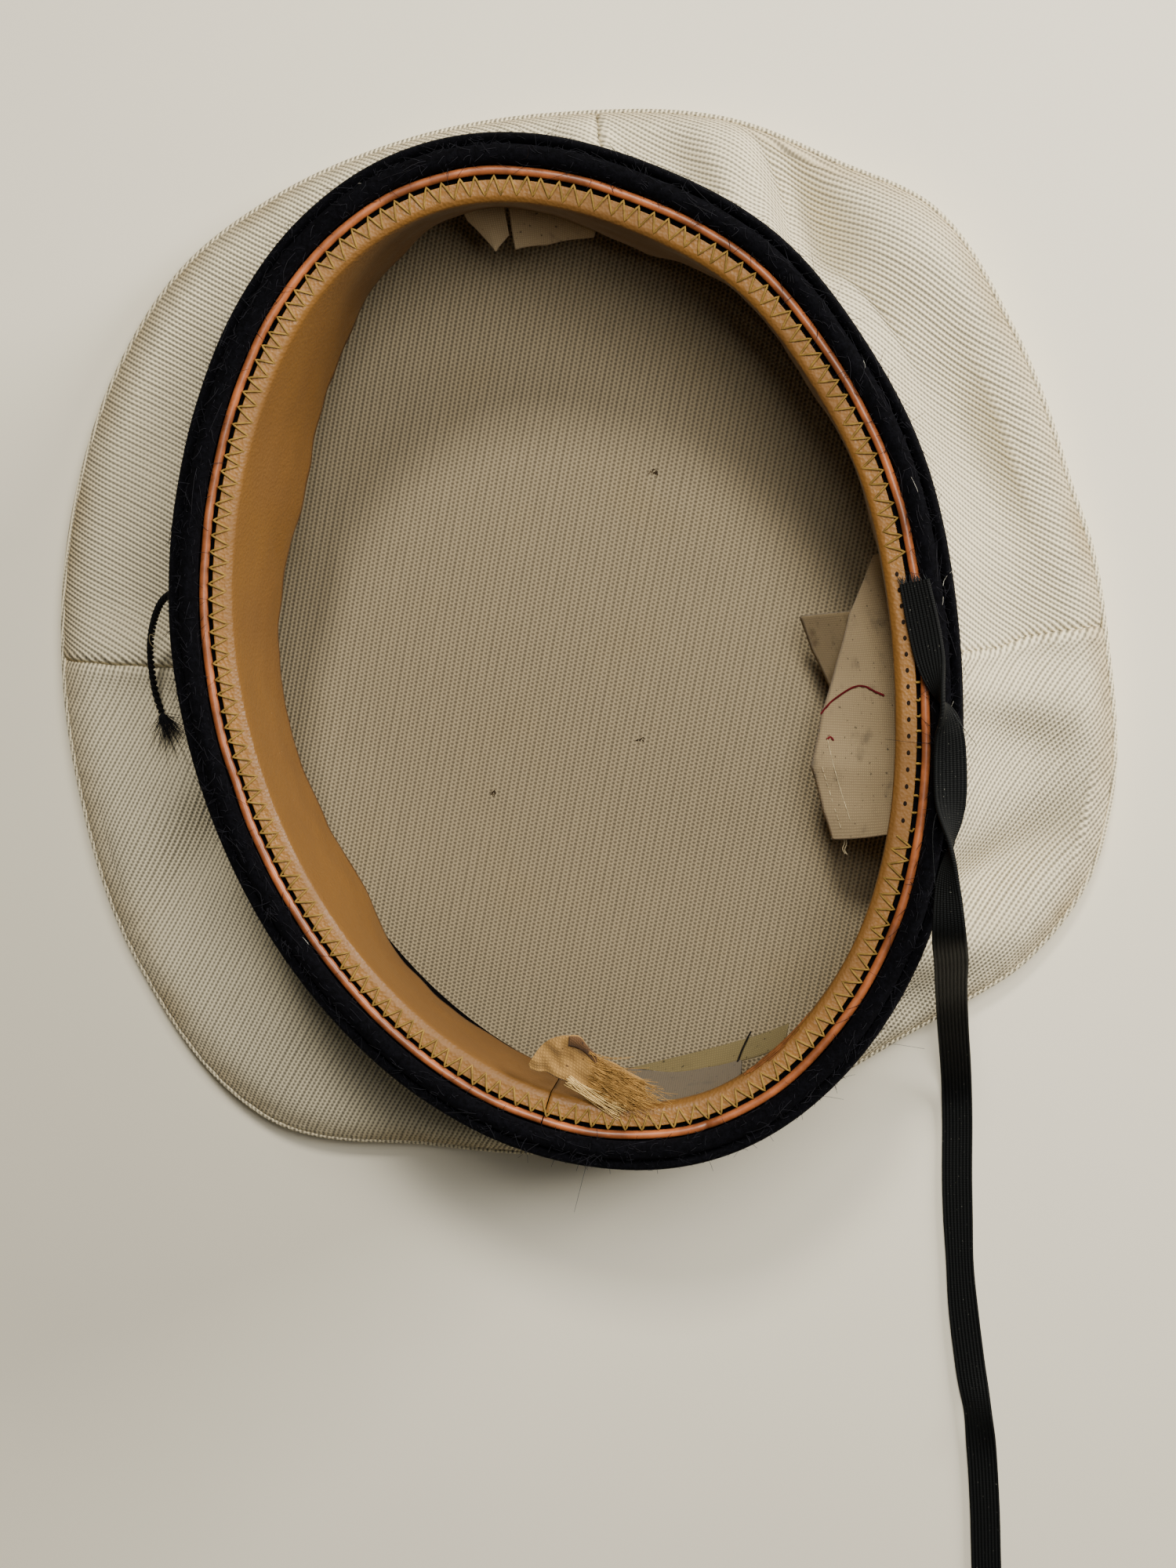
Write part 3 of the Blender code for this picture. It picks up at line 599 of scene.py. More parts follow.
# By their places: a Map Range node's inputs, then a colour Mix node's inputs and its output
VALUE, START, FULL, TO_LOW, TO_HIGH = range(5)
FACTOR, UNDER, OVER, MIXED = 0, 6, 7, 2
SMOOTH = {"interpolation_type": "SMOOTHSTEP"}
COLOURS = {"data_type": "RGBA"}
SUM = {"operation": "MULTIPLY_ADD"}


def add(tree, kind, inputs=None, output=0, **settings):
    """Adds a shader node with its settings, fills its inputs or links them, and returns an output."""
    node = tree.nodes.new("ShaderNode" + kind)
    for name, value in settings.items():
        setattr(node, name, value)
    for name, value in (inputs or {}).items():
        if isinstance(value, bpy.types.NodeSocket):
            tree.links.new(value, node.inputs[name])
        else:
            node.inputs[name].default_value = value
    return node.outputs[output]


def new_material(name, roughness, **sockets):
    """A material with its node tree and shader. Nothing on the cap is metal."""
    material = bpy.data.materials.new(name)
    material.use_nodes = True
    shader = material.node_tree.nodes["Principled BSDF"]
    shader.inputs["Roughness"].default_value = roughness
    for socket, value in sockets.items():
        shader.inputs[socket.replace("_", " ")].default_value = value
    return material, material.node_tree, shader


def cover(tree, shader, colour, height=None, strength=1.0, depth=0.0):
    """Links a material's colour, and its height as a bump of a depth in metres."""
    tree.links.new(colour, shader.inputs["Base Color"])
    if height is not None:
        bump = add(tree, "Bump", {"Strength": strength, "Distance": depth, "Height": height})
        tree.links.new(bump, shader.inputs["Normal"])


def wave_scale(pitch):
    """The scale at which a wave texture repeats once in a pitch."""
    return 2 * math.pi / (20 * pitch)


def shaded(colour, share):
    """A darker or lighter tone of a colour, with alpha."""
    return (*(min(1.0, part * share) for part in colour[:3]), 1.0)


def laid_over(tree, under, over, value, start, full, most=1.0):
    """A tone laid over another, smoothly from where a value starts to count to where it does in full."""
    share = add(tree, "MapRange", {VALUE: value, START: start, FULL: full, TO_HIGH: most}, **SMOOTH)
    return add(tree, "Mix", {FACTOR: share, UNDER: under, OVER: over}, MIXED, **COLOURS)


def ribbed_cotton(name, cotton, colour, aged, rim_share, dots, groove_shade):
    """Cotton drill, woven in ribs. Painted shade darkens the grooves between the close ribs and shows
    as dark dots where threads cross, and the cloth has yellowed along the rim. Rim share is how far in
    that goes, dots how deep the dots are, and groove_shade the tone of the painted shade between ribs."""
    material, tree, shader = new_material(name, 0.88, Sheen_Weight=0.05)
    weave = add(tree, "UVMap", uv_map="weave")
    across = add(tree, "SeparateXYZ", {0: add(tree, "UVMap", uv_map="place")}, 1)
    ribs = add(tree, "TexWave", {
        "Vector": weave, "Scale": wave_scale(cotton.rib_pitch),
        "Distortion": 0.5, "Detail": 2.0, "Detail Scale": 0.25,
    }, "Fac", bands_direction="Y")
    pairs = add(tree, "TexWave", {
        "Vector": weave, "Scale": wave_scale(2 * cotton.rib_pitch),
        "Distortion": 0.25, "Detail": 2.0, "Detail Scale": 0.5,
    }, "Fac", bands_direction="Y")
    # The threads of every second rib cross half a step further on
    half_turn = add(tree, "Math", {0: pairs, 1: 0.5}, operation="GREATER_THAN")
    phase = add(tree, "Math", {0: half_turn, 1: math.pi}, operation="MULTIPLY")
    threads = add(tree, "TexWave", {
        "Vector": weave, "Scale": wave_scale(cotton.thread_pitch), "Phase Offset": phase,
        "Distortion": 0.5, "Detail": 2.0, "Detail Scale": 0.4,
    }, "Fac", bands_direction="X")
    stretched = add(tree, "Mapping", {"Vector": weave, "Scale": (0.12, 1.0, 1.0)})
    yarn = add(tree, "TexNoise", {"Vector": stretched, "Scale": 900.0, "Detail": 2.0})
    height = add(tree, "Math", {0: threads, 1: dots, 2: ribs}, **SUM)
    height = add(tree, "Math", {0: pairs, 1: 0.15, 2: height}, **SUM)
    height = add(tree, "Math", {0: yarn, 1: 0.40, 2: height}, **SUM)
    # The weave's grooves and crossings darker as painted shade, on clean and on yellowed cloth
    clean, old = (
        laid_over(tree, shaded(dye, groove_shade), shaded(dye, 1), height, 0.35, 0.9 + dots)
        for dye in (colour, aged)
    )
    # Blotches break the yellowed edge up, and a few of them lie further in
    blotches = add(tree, "TexNoise", {"Vector": weave, "Scale": 38.0, "Detail": 5.0})
    rim = add(tree, "MapRange", {VALUE: across, START: rim_share, FULL: 0.0, TO_HIGH: 0.75}, **SMOOTH)
    broken = add(tree, "MapRange", {VALUE: blotches, START: 0.25, FULL: 0.75, TO_LOW: 0.3}, **SMOOTH)
    age = add(tree, "Math", {0: rim, 1: broken}, operation="MULTIPLY")
    inner = add(tree, "MapRange", {VALUE: blotches, START: 0.5, FULL: 0.8}, **SMOOTH)
    worn = add(tree, "Math", {0: inner, 1: 0.16, 2: age}, **SUM)
    dyed = add(tree, "Mix", {FACTOR: worn, UNDER: clean, OVER: old}, MIXED, **COLOURS)
    cover(tree, shader, dyed, height, 0.9, 0.35 * MM)
    return material


def felted_wool(name, wool):
    """Milled woollen cloth, dyed navy. It is almost black, soft, and lit up along its edges by fluff."""
    material, tree, shader = new_material(
        name, 0.95, Sheen_Weight=0.02, Sheen_Roughness=0.5, Specular_IOR_Level=0.06
    )
    shader.inputs["Sheen Tint"].default_value = linear("#6a6a80")
    spot = add(tree, "TexCoord", output="Object")
    fluff = add(tree, "TexNoise", {"Vector": spot, "Scale": 900.0, "Detail": 6.0, "Roughness": 0.7})
    lumps = add(tree, "TexNoise", {"Vector": spot, "Scale": 160.0, "Detail": 3.0})
    dyed = laid_over(tree, shaded(wool.colour, 0.45), shaded(wool.colour, 1.6), fluff, 0.35, 0.7)
    height = add(tree, "Math", {0: lumps, 1: 1.5, 2: fluff}, **SUM)
    cover(tree, shader, dyed, height, 0.8, 0.35 * MM)
    return material


def worn_leather(name, leather):
    """Vegetable-tanned sheepskin, smooth side out. Fine pores, faint creases and darker patches show
    where it was worn, and painted shade darkens it down in the cap. Real pores would be too fine to
    show, so they are drawn coarser."""
    material, tree, shader = new_material(name, 0.5, Specular_IOR_Level=0.4)
    spot = add(tree, "TexCoord", output="Object")
    down = add(tree, "SeparateXYZ", {0: add(tree, "UVMap", uv_map="place")}, 1)
    patches = add(tree, "TexNoise", {"Vector": spot, "Scale": 32.0, "Detail": 6.0, "Roughness": 0.6})
    pores = add(tree, "TexVoronoi", {"Vector": spot, "Scale": 1400.0})
    grain = add(tree, "TexNoise", {"Vector": spot, "Scale": 700.0, "Detail": 4.0})
    tan = leather.colour
    surface = laid_over(tree, shaded(tan, 0.74), shaded(tan, 1.06), patches, 0.3, 0.72)
    # Darker down in the cap as painted shade, freckled, and darkest along the cut edge
    surface = laid_over(tree, surface, shaded(tan, 0.5), down, 0.15, 0.40, 0.75)
    surface = laid_over(tree, surface, linear("#5d3c1b"), grain, 0.68, 0.80, 0.5)
    surface = laid_over(tree, surface, linear("#6b451f"), down, 0.965, 1.0, 0.7)
    gloss = add(tree, "MapRange", {
        VALUE: patches, START: 0.3, FULL: 0.7, TO_LOW: 0.62, TO_HIGH: 0.42,
    }, **SMOOTH)
    tree.links.new(gloss, shader.inputs["Roughness"])
    height = add(tree, "Math", {0: grain, 1: 0.9, 2: pores}, **SUM)
    cover(tree, shader, surface, height, 0.6, 0.16 * MM)
    return material


def coated_piping(name, leather):
    """Cloth with a rubbed resin coating. It shines dully, copper where whole and dark where worn."""
    material, tree, shader = new_material(name, 0.4, Coat_Weight=0.08, Coat_Roughness=0.4)
    spot = add(tree, "TexCoord", output="Object")
    wear = add(tree, "TexNoise", {"Vector": spot, "Scale": 90.0, "Detail": 7.0, "Roughness": 0.65})
    rubbed = laid_over(tree, shaded(leather.piping, 0.45), shaded(leather.piping, 1.3), wear, 0.35, 0.7)
    cover(tree, shader, rubbed, wear, 0.3, 0.2 * MM)
    return material


def spun_thread(name, colour, roughness=0.7):
    """Sewing thread or loose fibre, spun. Its tone wanders a little along its length."""
    material, tree, shader = new_material(name, roughness, Specular_IOR_Level=0.2)
    spot = add(tree, "TexCoord", output="Object")
    wander = add(tree, "TexNoise", {"Vector": spot, "Scale": 500.0, "Detail": 3.0})
    cover(tree, shader, laid_over(tree, shaded(colour, 0.65), shaded(colour, 1.25), wander, 0.3, 0.7))
    return material


def plain_linen(name, colour, stain, stain_amount, pitch=0.55 * MM):
    """Plain-woven tape, handled and stained. Its threads cross evenly with painted shade between them,
    and grey and brown marks lie on it. Real threads lie a little closer, but would be too fine to show."""
    material, tree, shader = new_material(name, 0.92, Sheen_Weight=0.1)
    weave = add(tree, "UVMap", uv_map="weave")
    warp, weft = (
        add(tree, "TexWave", {
            "Vector": weave, "Scale": wave_scale(pitch),
            "Distortion": 1.6, "Detail": 3.0, "Detail Scale": 0.6,
        }, "Fac", bands_direction=way)
        for way in "XY"
    )
    height = add(tree, "Math", {0: warp, 1: weft}, operation="MULTIPLY")
    marks = add(tree, "TexNoise", {"Vector": weave, "Scale": 110.0, "Detail": 6.0, "Roughness": 0.65})
    specks = add(tree, "TexNoise", {"Vector": weave, "Scale": 900.0, "Detail": 2.0})
    # Painted shade where the weave dips between its threads
    surface = laid_over(tree, shaded(colour, 0.78), shaded(colour, 1.04), height, 0.0, 0.8)
    surface = laid_over(tree, surface, stain, marks, 0.52, 0.72, stain_amount)
    surface = laid_over(tree, surface, shaded(stain, 0.5), specks, 0.66, 0.72, 0.8)
    cover(tree, shader, surface, height, 0.5, 0.15 * MM)
    return material


def woven_elastic(name, elastic):
    """Woven elastic of black rubber-cored cords. Fine cross threads break the shine of its ribs, with
    painted shade between them. They are drawn coarser than real ones, which would be too fine to show."""
    material, tree, shader = new_material(name, 0.7, Specular_IOR_Level=0.15)
    weave = add(tree, "UVMap", uv_map="weave")
    cross = add(tree, "TexWave", {
        "Vector": weave, "Scale": wave_scale(0.45 * MM),
        "Distortion": 2.0, "Detail": 3.0, "Detail Scale": 0.8,
    }, "Fac", bands_direction="X")
    dust = add(tree, "TexNoise", {"Vector": weave, "Scale": 1500.0, "Detail": 2.0})
    # Painted shade between the cross threads, lighter on them
    threads = add(tree, "Mix", {
        FACTOR: cross, UNDER: shaded(elastic.colour, 0.55), OVER: shaded(elastic.colour, 1.3),
    }, MIXED, **COLOURS)
    dusty = laid_over(tree, threads, linear("#8d8c80"), dust, 0.68, 0.8, 0.5)
    cover(tree, shader, dusty, cross, 0.5, 0.12 * MM)
    return material


def plain(name, code, roughness):
    """A tiny mark or a hole's shadow, too small to show any pattern but its tone's own wandering."""
    return spun_thread(name, linear(code)[:3], roughness)


def disc_spots():
    """The outer face of the round top, from the lip over the seam to the middle."""
    angle = np.linspace(0, 360, DISC_COLUMNS + 1)
    roll = smooth_route(DISC_ROLL, ROLL_STEPS)
    lift = read(CROWN_SECTIONS, "lift", angle) * MM
    edge = crown_edge(angle, roll[:, :1] * MM, np.maximum(0, roll[:, 1:]) * lift)
    inner = np.linspace(1, 0, MIDDLE_STEPS + 1)[1:, None, None]
    middle = -np.append(CROWN_MIDDLE, 0)
    flat = middle + (edge[-1] - middle) * inner
    spots = np.concatenate([edge, flat])
    # The loose middle lies a little wavy on the table
    reach = np.linalg.norm(spots[..., :2], axis=-1)
    loose = np.clip((105 * MM - reach) / (30 * MM), 0, 1)
    spots[..., 2] += loose * np.clip(0.7 + 0.9 * drift(spots[..., :2], 95 * MM, 5), 0, 2) * MM
    return spots


def seam_angle(name, across):
    """Where a seam runs at a share of the way in from the edge."""
    angle, strays = SEAMS[name]
    return angle + np.interp(across, *zip(*strays))


def fold_height(angle, across):
    """What the folds add to a side panel's height."""
    total = np.zeros_like(angle)
    for fold in FOLDS:
        middle = fold.edge_angle + (fold.band_angle - fold.edge_angle) * across
        along = np.clip((across - fold.start) / (fold.end - fold.start), 0, 1)
        shape = bell(angle_between(angle, middle), fold.spread)
        total += FOLD_GAIN * fold.height * MM * shape * np.sin(np.pi * along).clip(0) ** 0.8
    return total


def panel_spots(panel):
    """The under side of a side panel and its places on the flat cloth."""
    across, up = smooth_route(PANEL_ROWS, PANEL_STEPS).T[:, :, None]
    start, end = seam_angle(panel.start, across), seam_angle(panel.end, across)
    if SEAMS[panel.end][0] < SEAMS[panel.start][0]:
        end = end + 360
    columns = round(float(end[0, 0] - start[0, 0]) / PANEL_COLUMN_TURN)
    share = np.linspace(0, 1, columns + 1)
    angle = start - UNDERLAP_TURN + share * (end - start + UNDERLAP_TURN)
    across, up = np.broadcast_to(across, angle.shape), np.broadcast_to(up, angle.shape)
    lift = read(CROWN_SECTIONS, "lift", angle) * MM
    outer = crown_edge(angle, PANEL_INSET, lift + SEAM_CLEAR)
    foot = BAND_FOOT - COTTON - PANEL_CLEAR
    inner = rim_inset(angle, band_inset(angle, BAND_FOOT) + PANEL_TUCK, foot)
    spots = outer + (inner - outer) * across[..., None]
    spots[..., 2] = outer[..., 2] + (inner[..., 2] - outer[..., 2]) * up
    middle = np.sin(np.pi * np.clip(across, 0, 1)).clip(0)
    spots[..., 2] -= read(CROWN_SECTIONS, "sag", angle) * MM * middle**1.5
    spots[..., 2] += fold_height(angle, across)
    # On the flat cloth, a fold's own length moves what lies inside it outwards
    slope = arc_length(spots)
    plain_way = np.linalg.norm(spots[..., :2] - spots[:1, :, :2], axis=-1)
    centre = spots[..., :2] + CROWN_MIDDLE
    reach = np.linalg.norm(centre, axis=-1, keepdims=True)
    flat = centre * (reach - 0.6 * (slope - plain_way)[..., None]) / reach
    # The cloth drops into its seams, and puckers beside them: its height, its pitch and its reach
    width = np.linalg.norm(inner - outer, axis=-1)
    from_edge, from_band = across * width, (1 - across) * width
    around = 2 * np.pi * arc_length(spots.transpose(1, 0, 2)).T
    wander = drift(spots[..., :2], 26 * MM, 3)
    spots[..., 2] -= 0.8 * MM * bell(from_edge, 0.8 * MM)
    edge_pucker = np.sin(around / (7.3 * MM) + 2 * wander) * bell(from_edge, 6 * MM)
    band_pucker = np.sin(around / (9.5 * MM) + 3 * wander) * bell(from_band, 8 * MM)
    spots[..., 2] += (0.10 * edge_pucker + 0.22 * band_pucker) * MM
    spots[..., 2] += 0.35 * MM * wander * np.sin(np.pi * across)
    # It stands up along its own end, turns in there, and dives under the next panel at its start
    to_end = (end - angle) * LENGTH_PER_DEGREE
    to_start = (angle - start) * LENGTH_PER_DEGREE
    tight = 1 + 0.4 * np.sin(across * 31)
    spots[..., 2] += 0.6 * MM * bell(to_end, 3.2 * MM) * tight
    spots[..., 2] -= 1.3 * MM * np.clip(1 - to_end / (0.8 * MM), 0, 1) ** 2
    under = np.clip(1 - to_start / (3.0 * MM), 0, 1)
    spots[..., 2] -= 1.5 * MM * under**2 * (3 - 2 * under)
    place = np.stack([np.broadcast_to(angle / 360, angle.shape), across], -1)
    return spots, turned(flat, panel.ribs), place


def ring_spots(angle, section):
    """A closed section of insets and heights, carried round the rim."""
    inset, height = np.array(section, float).T[:, :, None]
    return rim_inset(angle, inset, height)


class CAP_OT_white_top(bpy.types.Operator):
    """Makes the round top and the four side panels of ribbed cotton"""

    bl_idname = "sailor_cap.white_top"
    bl_label = "White top"

    def execute(self, context):
        cotton = context.scene.cap_cotton
        inside = ribbed_cotton(
            "cotton_drill_lining", cotton, cotton.lining, cotton.aged,
            rim_share=0.02, dots=0.75, groove_shade=0.38,
        )
        floor = disc_spots()
        disc = cloth("crown_cloth", floor, turned(floor, DISC_RIBS), closed=True)
        wall(disc, COTTON, 1, 1)
        outside = ribbed_cotton(
            "cotton_drill", cotton, cotton.colour, cotton.aged,
            rim_share=0.16, dots=0.4, groove_shade=0.30,
        )
        dress(disc, inside, "white_cotton_rib", "crown_disc", reverse=outside)
        for name, panel in PANELS.items():
            spots, weave, place = panel_spots(panel)
            piece = cloth(name + "_cloth", spots, weave, place)
            wall(piece, COTTON, 1, 1)
            dress(piece, outside, "white_cotton_rib", name, reverse=inside)
            if name in STITCHED_EDGES:
                self.add_stitching(name, spots)
        self.add_marks(floor)
        return {"FINISHED"}

    def add_stitching(self, name, spots):
        """A row of small stitches that holds the panel's turned-in edge beside the band."""
        line = smooth_route(STITCHED_EDGES[name], 60)
        lines = [laid_on(spots, line[k:k + 2], COTTON + 0.02 * MM) for k in range(0, 60, 2)]
        thread = plain("cotton_thread_" + name, "#b3a88e", 0.85)
        dress(strands(name + "_stitches", lines, 0.13 * MM), thread, "white_cotton_rib")

    def add_marks(self, floor):
        """Dark lint that lies on the lining."""
        luck = np.random.default_rng(21)
        lines = []
        for x, y, count in LINT:
            for _ in range(count):
                start = np.array([x, y]) + luck.normal(size=2) * 0.35
                line = start + np.cumsum(luck.normal(size=(5, 2)) * 0.28, axis=0)
                lines.append(laid_on(floor, line, COTTON + 0.15 * MM))
        piece = strands("lining_lint", lines, 0.16 * MM, taper=0.5)
        dress(piece, plain("dark_lint", "#3a2c1c", 0.9), "navy_wool")


class CAP_OT_navy_band(bpy.types.Operator):
    """Makes the navy wool band, its rolled rim and the loose hairs on them"""

    bl_idname = "sailor_cap.navy_band"
    bl_label = "Navy band"

    def execute(self, context):
        wool = context.scene.cap_wool
        cloth_material = felted_wool("felted_wool", wool)
        angle = np.linspace(0, 360, ROUND_COLUMNS + 1)
        heights, insets = BAND_HEIGHTS[:, None] * MM, BAND_INSETS[:, None] * MM
        band = rim_inset(angle, insets + band_inset(angle[None, :], heights), heights)
        band[..., 2] += 0.15 * MM * drift(band[..., :2], 24 * MM, 11) * (heights > WAVY_FROM)
        piece = cloth("band_wool", band, band[..., :2], closed=True, solid=True)
        dress(piece, cloth_material, "navy_wool", "band")
        turn = np.linspace(ROLL_FIRST, ROLL_LAST, ROLL_POINTS)
        section = [tuple(spot) for spot in np.array(ROLL_CENTRE) + ROLL_RADIUS * compass(turn)]
        section += [
            (ROLL_CENTRE[0] + ROLL_RADIUS, FLANGE_UNDER), (FLANGE_END, FLANGE_UNDER),
            (FLANGE_END, FLANGE_TOP), (FLANGE_CORNER, FLANGE_TOP), section[0],
        ]
        roll = ring_spots(angle, section)
        swell = np.array([1.0] * ROLL_POINTS + [0.0] * FLANGE_POINTS + [1.0])[:, None]
        roll[..., 2] += swell * 0.18 * MM * drift(roll[..., :2], 17 * MM, 12)
        piece = cloth("rim_wool", roll, roll[..., :2], closed=True, solid=True)
        dress(piece, cloth_material, "navy_wool", "rim_roll")
        self.add_hairs(wool, angle, band, roll)
        return {"FINISHED"}

    def add_hairs(self, wool, angle, band, roll):
        """Hairs that stand off the wool, and a few pale ones that have settled on it. They are drawn
        thicker than real ones, which would be too fine to show."""
        luck = np.random.default_rng(31)
        lines, pale = [], []
        for k in range(wool.hairs):
            source = band if luck.random() < 0.55 else roll
            rows = (2, 11) if source is band else (3, 19)
            row = luck.integers(*rows)
            column = luck.integers(1, len(angle) - 1)
            root = source[row, column]
            along = source[row, column + 1] - source[row, column - 1]
            around = source[row + 1, column] - source[row - 1, column]
            out = np.cross(along, around)
            out /= -np.linalg.norm(out)
            side = along / np.linalg.norm(along)
            length = wool.hair_length * luck.uniform(0.3, 1.0) ** 1.6
            length *= 2.2 if luck.random() < 0.02 else 1
            way = out * luck.uniform(0.15, 0.9) + side * luck.normal() * 0.9 + luck.normal(size=3) * 0.35
            bend = luck.normal(size=3) * 0.5
            t = np.linspace(0, 1, 4)[:, None]
            lines.append(root + length * (way * t + bend * t**2))
            if k % HAIRS_PER_PALE == 0:
                curl = luck.normal(size=3) * np.array([1, 1, 0.2])
                way = side * t * luck.choice([-1, 1]) + curl * t**2 * 0.5
                pale.append(root + out * 0.3 * MM + PALE_LENGTH * way)
        hair = spun_thread("wool_hair", shaded(wool.colour, 4.0)[:3])
        dress(strands("wool_hairs", lines, 0.06 * MM, taper=0.5), hair, "navy_wool")
        pale_hair = plain("pale_hair", "#b9b6aa", 0.8)
        dress(strands("pale_hairs", pale, 0.04 * MM, taper=0.5), pale_hair, "navy_wool")


def leather_face():
    """The sweatband's face, from its sewn edge to its free edge."""
    angle = joint_angle(np.linspace(0, 1, LEATHER_COLUMNS + 1))
    lean = read(RING_SECTIONS, "leather_lean", angle) * MM
    foot = read(RING_SECTIONS, "leather_foot", angle) * MM
    ragged = drift(compass(angle) * WANDER_RING, 9 * MM, 41) * 0.35 * MM
    rows = [LEATHER_START, (11.4 * MM, 75.35 * MM), LEATHER_STRIP_END, LEATHER_BEND]
    rows = [(np.full_like(angle, a), np.full_like(angle, b)) for a, b in rows]
    for share in (0.33, 0.66, 1.0):
        rows.append((
            LEATHER_BEND[0] + (lean - LEATHER_BEND[0]) * share,
            LEATHER_BEND[1] + (foot + ragged - LEATHER_BEND[1]) * share,
        ))
    route = smooth_route(rows, LEATHER_ROWS)
    spots = rim_inset(angle, route[:, 0], route[:, 1])
    down = np.linspace(0, 1, LEATHER_ROWS + 1)[:, None]
    wall_share = np.clip((down - WALL_START) / (1 - WALL_START), 0, 1)
    wave = drift(compass(angle) * WANDER_RING, 30 * MM, 42)
    inward = rim_inset(angle, route[:, 0] + 1 * MM, route[:, 1]) - spots
    spots += inward * (0.6 * wave * wall_share + 0.25 * drift(spots, 11 * MM, 43) * wall_share)[..., None]
    return spots


class CAP_OT_sweatband(bpy.types.Operator):
    """Makes the leather sweatband, its piping, zigzag stitches, empty needle holes and torn skin"""

    bl_idname = "sailor_cap.sweatband"
    bl_label = "Sweatband"

    def execute(self, context):
        settings = context.scene.cap_leather
        spots = leather_face()
        piece = cloth("sweatband_leather", spots, flat_weave(spots))
        wall(piece, LEATHER, -1)
        dress(piece, worn_leather("sheepskin", settings), "tan_leather", "sweatband")
        self.add_piping(settings)
        self.add_stitches(settings)
        self.add_tears(spots)
        return {"FINISHED"}

    def add_tears(self, spots):
        """Torn flakes of the leather's skin at the lower right, where it bends down into the cap."""
        luck = np.random.default_rng(71)
        edge = spots[0]
        columns = np.flatnonzero((edge[:, 0] > 46 * MM) & (edge[:, 0] < 62 * MM) & (edge[:, 1] < 0))
        lines = []
        for k in range(TEARS):
            level = (TEAR_TOP - TEAR_STEP * k) * MM
            rows = np.abs(spots[:, columns, 2] - level).argmin(0)
            skin = spots[rows, columns] * np.array([0.998, 0.998, 1]) + np.array([0, 0, 0.1]) * MM
            first = luck.integers(0, len(columns) // 3)
            last = luck.integers(len(columns) // 2, len(columns))
            lines.append(smooth_route(skin[first:last:3] + luck.normal(size=3) * 0.08 * MM, 24))
        torn = plain("torn_leather", "#6b411d", 0.85)
        dress(strands("leather_tears", lines, 0.24 * MM, taper=0.3, sides=1), torn, "tan_leather")

    def add_piping(self, settings):
        """The coated piping, with the dents that wear has left in it."""
        angle = joint_angle(np.linspace(0, 1, PIPING_POINTS))
        dent = bell(angle_between(angle, 287.6), 0.5) + 0.5 * bell(angle_between(angle, 200), 1.2)
        ring = compass(angle) * WANDER_RING
        low = PIPING_HEIGHT - 0.35 * MM * dent + 0.08 * MM * drift(ring, 12 * MM, 51)
        inset = PIPING_INSET + 0.12 * MM * drift(ring, 20 * MM, 52)
        piece = strands("coated_piping", [rim_inset(angle, inset, low)], PIPING_RADIUS, sides=4)
        dress(piece, coated_piping("rubbed_oilcloth", settings), "copper_oilcloth", "sweatband_piping")

    def add_stitches(self, settings):
        """The zigzag along the leather's edge. At the right its thread is gone and its holes show."""
        fine = np.linspace(0, 360, 3601)
        length = arc_length(rim_inset(fine, ZIGZAG_MIDDLE, 75 * MM))
        count = round(length[-1] / settings.stitch_pitch)
        knots = np.interp(np.arange(2 * count + 1) / 2 * length[-1] / count, length, fine)
        luck = np.random.default_rng(61)
        lines, ticks, run = [], [], []
        for k, angle in enumerate(knots):
            gone = THREAD_GONE[0] < angle_between(angle, 0) < THREAD_GONE[1]
            if gone or k == len(knots) - 1:
                if len(run) > 1:
                    lines.append(self.sewn(run))
                run = []
                if gone and k % 2 == 0 and angle_between(angle, 0) < -2:
                    ticks.append(rim_inset(
                        angle + np.array([0, 0.15, 0.1]) * luck.normal(),
                        np.array([8.9, 9.3, 9.9]) * MM, np.array([74.9, 75.9, 75.9]) * MM,
                    ))
                continue
            outer = k % 2 == 0
            jitter = luck.normal() * 0.12
            run.append((angle + jitter, ZIGZAG_OUTER if outer else (ZIGZAG_INNER + jitter) * MM))
        thread = spun_thread("linen_thread", settings.thread)
        dress(strands("zigzag_stitches", lines + ticks, 0.25 * MM, sides=1), thread, "tan_leather")
        self.add_holes()

    def sewn(self, run):
        """One line through the needle's points, pulled down at each and proud between them."""
        points = []
        for (a, inset), (b, following) in zip(run, run[1:]):
            for t in np.linspace(0, 1, 6, endpoint=False):
                i = inset + (following - inset) * t
                base = LEATHER_START[1] - (i - LEATHER_START[0]) * 0.23
                lift = 0.08 * MM + 0.34 * MM * math.sin(math.pi * t) ** 0.5
                points.append(rim_inset(a + (b - a) * t, i, base + lift))
        return np.array(points)

    def add_holes(self):
        """The empty needle holes, as dark flat dots let into the leather."""
        holes = bmesh.new()
        for k in range(HOLES):
            spot = rim_inset(FIRST_HOLE - HOLE_TURN * k, ZIGZAG_MIDDLE, 75.36 * MM)
            place = Matrix.Translation(Vector(spot)) @ Matrix.Diagonal((1.0, 1.3, 0.3, 1.0))
            bmesh.ops.create_uvsphere(
                holes, u_segments=12, v_segments=6, radius=HOLE_RADIUS, matrix=place
            )
        mesh = bpy.data.meshes.new("needle_holes")
        holes.to_mesh(mesh)
        holes.free()
        dress(add_piece("needle_holes", mesh), plain("hole_shadow", "#1c120a", 0.9), "tan_leather")


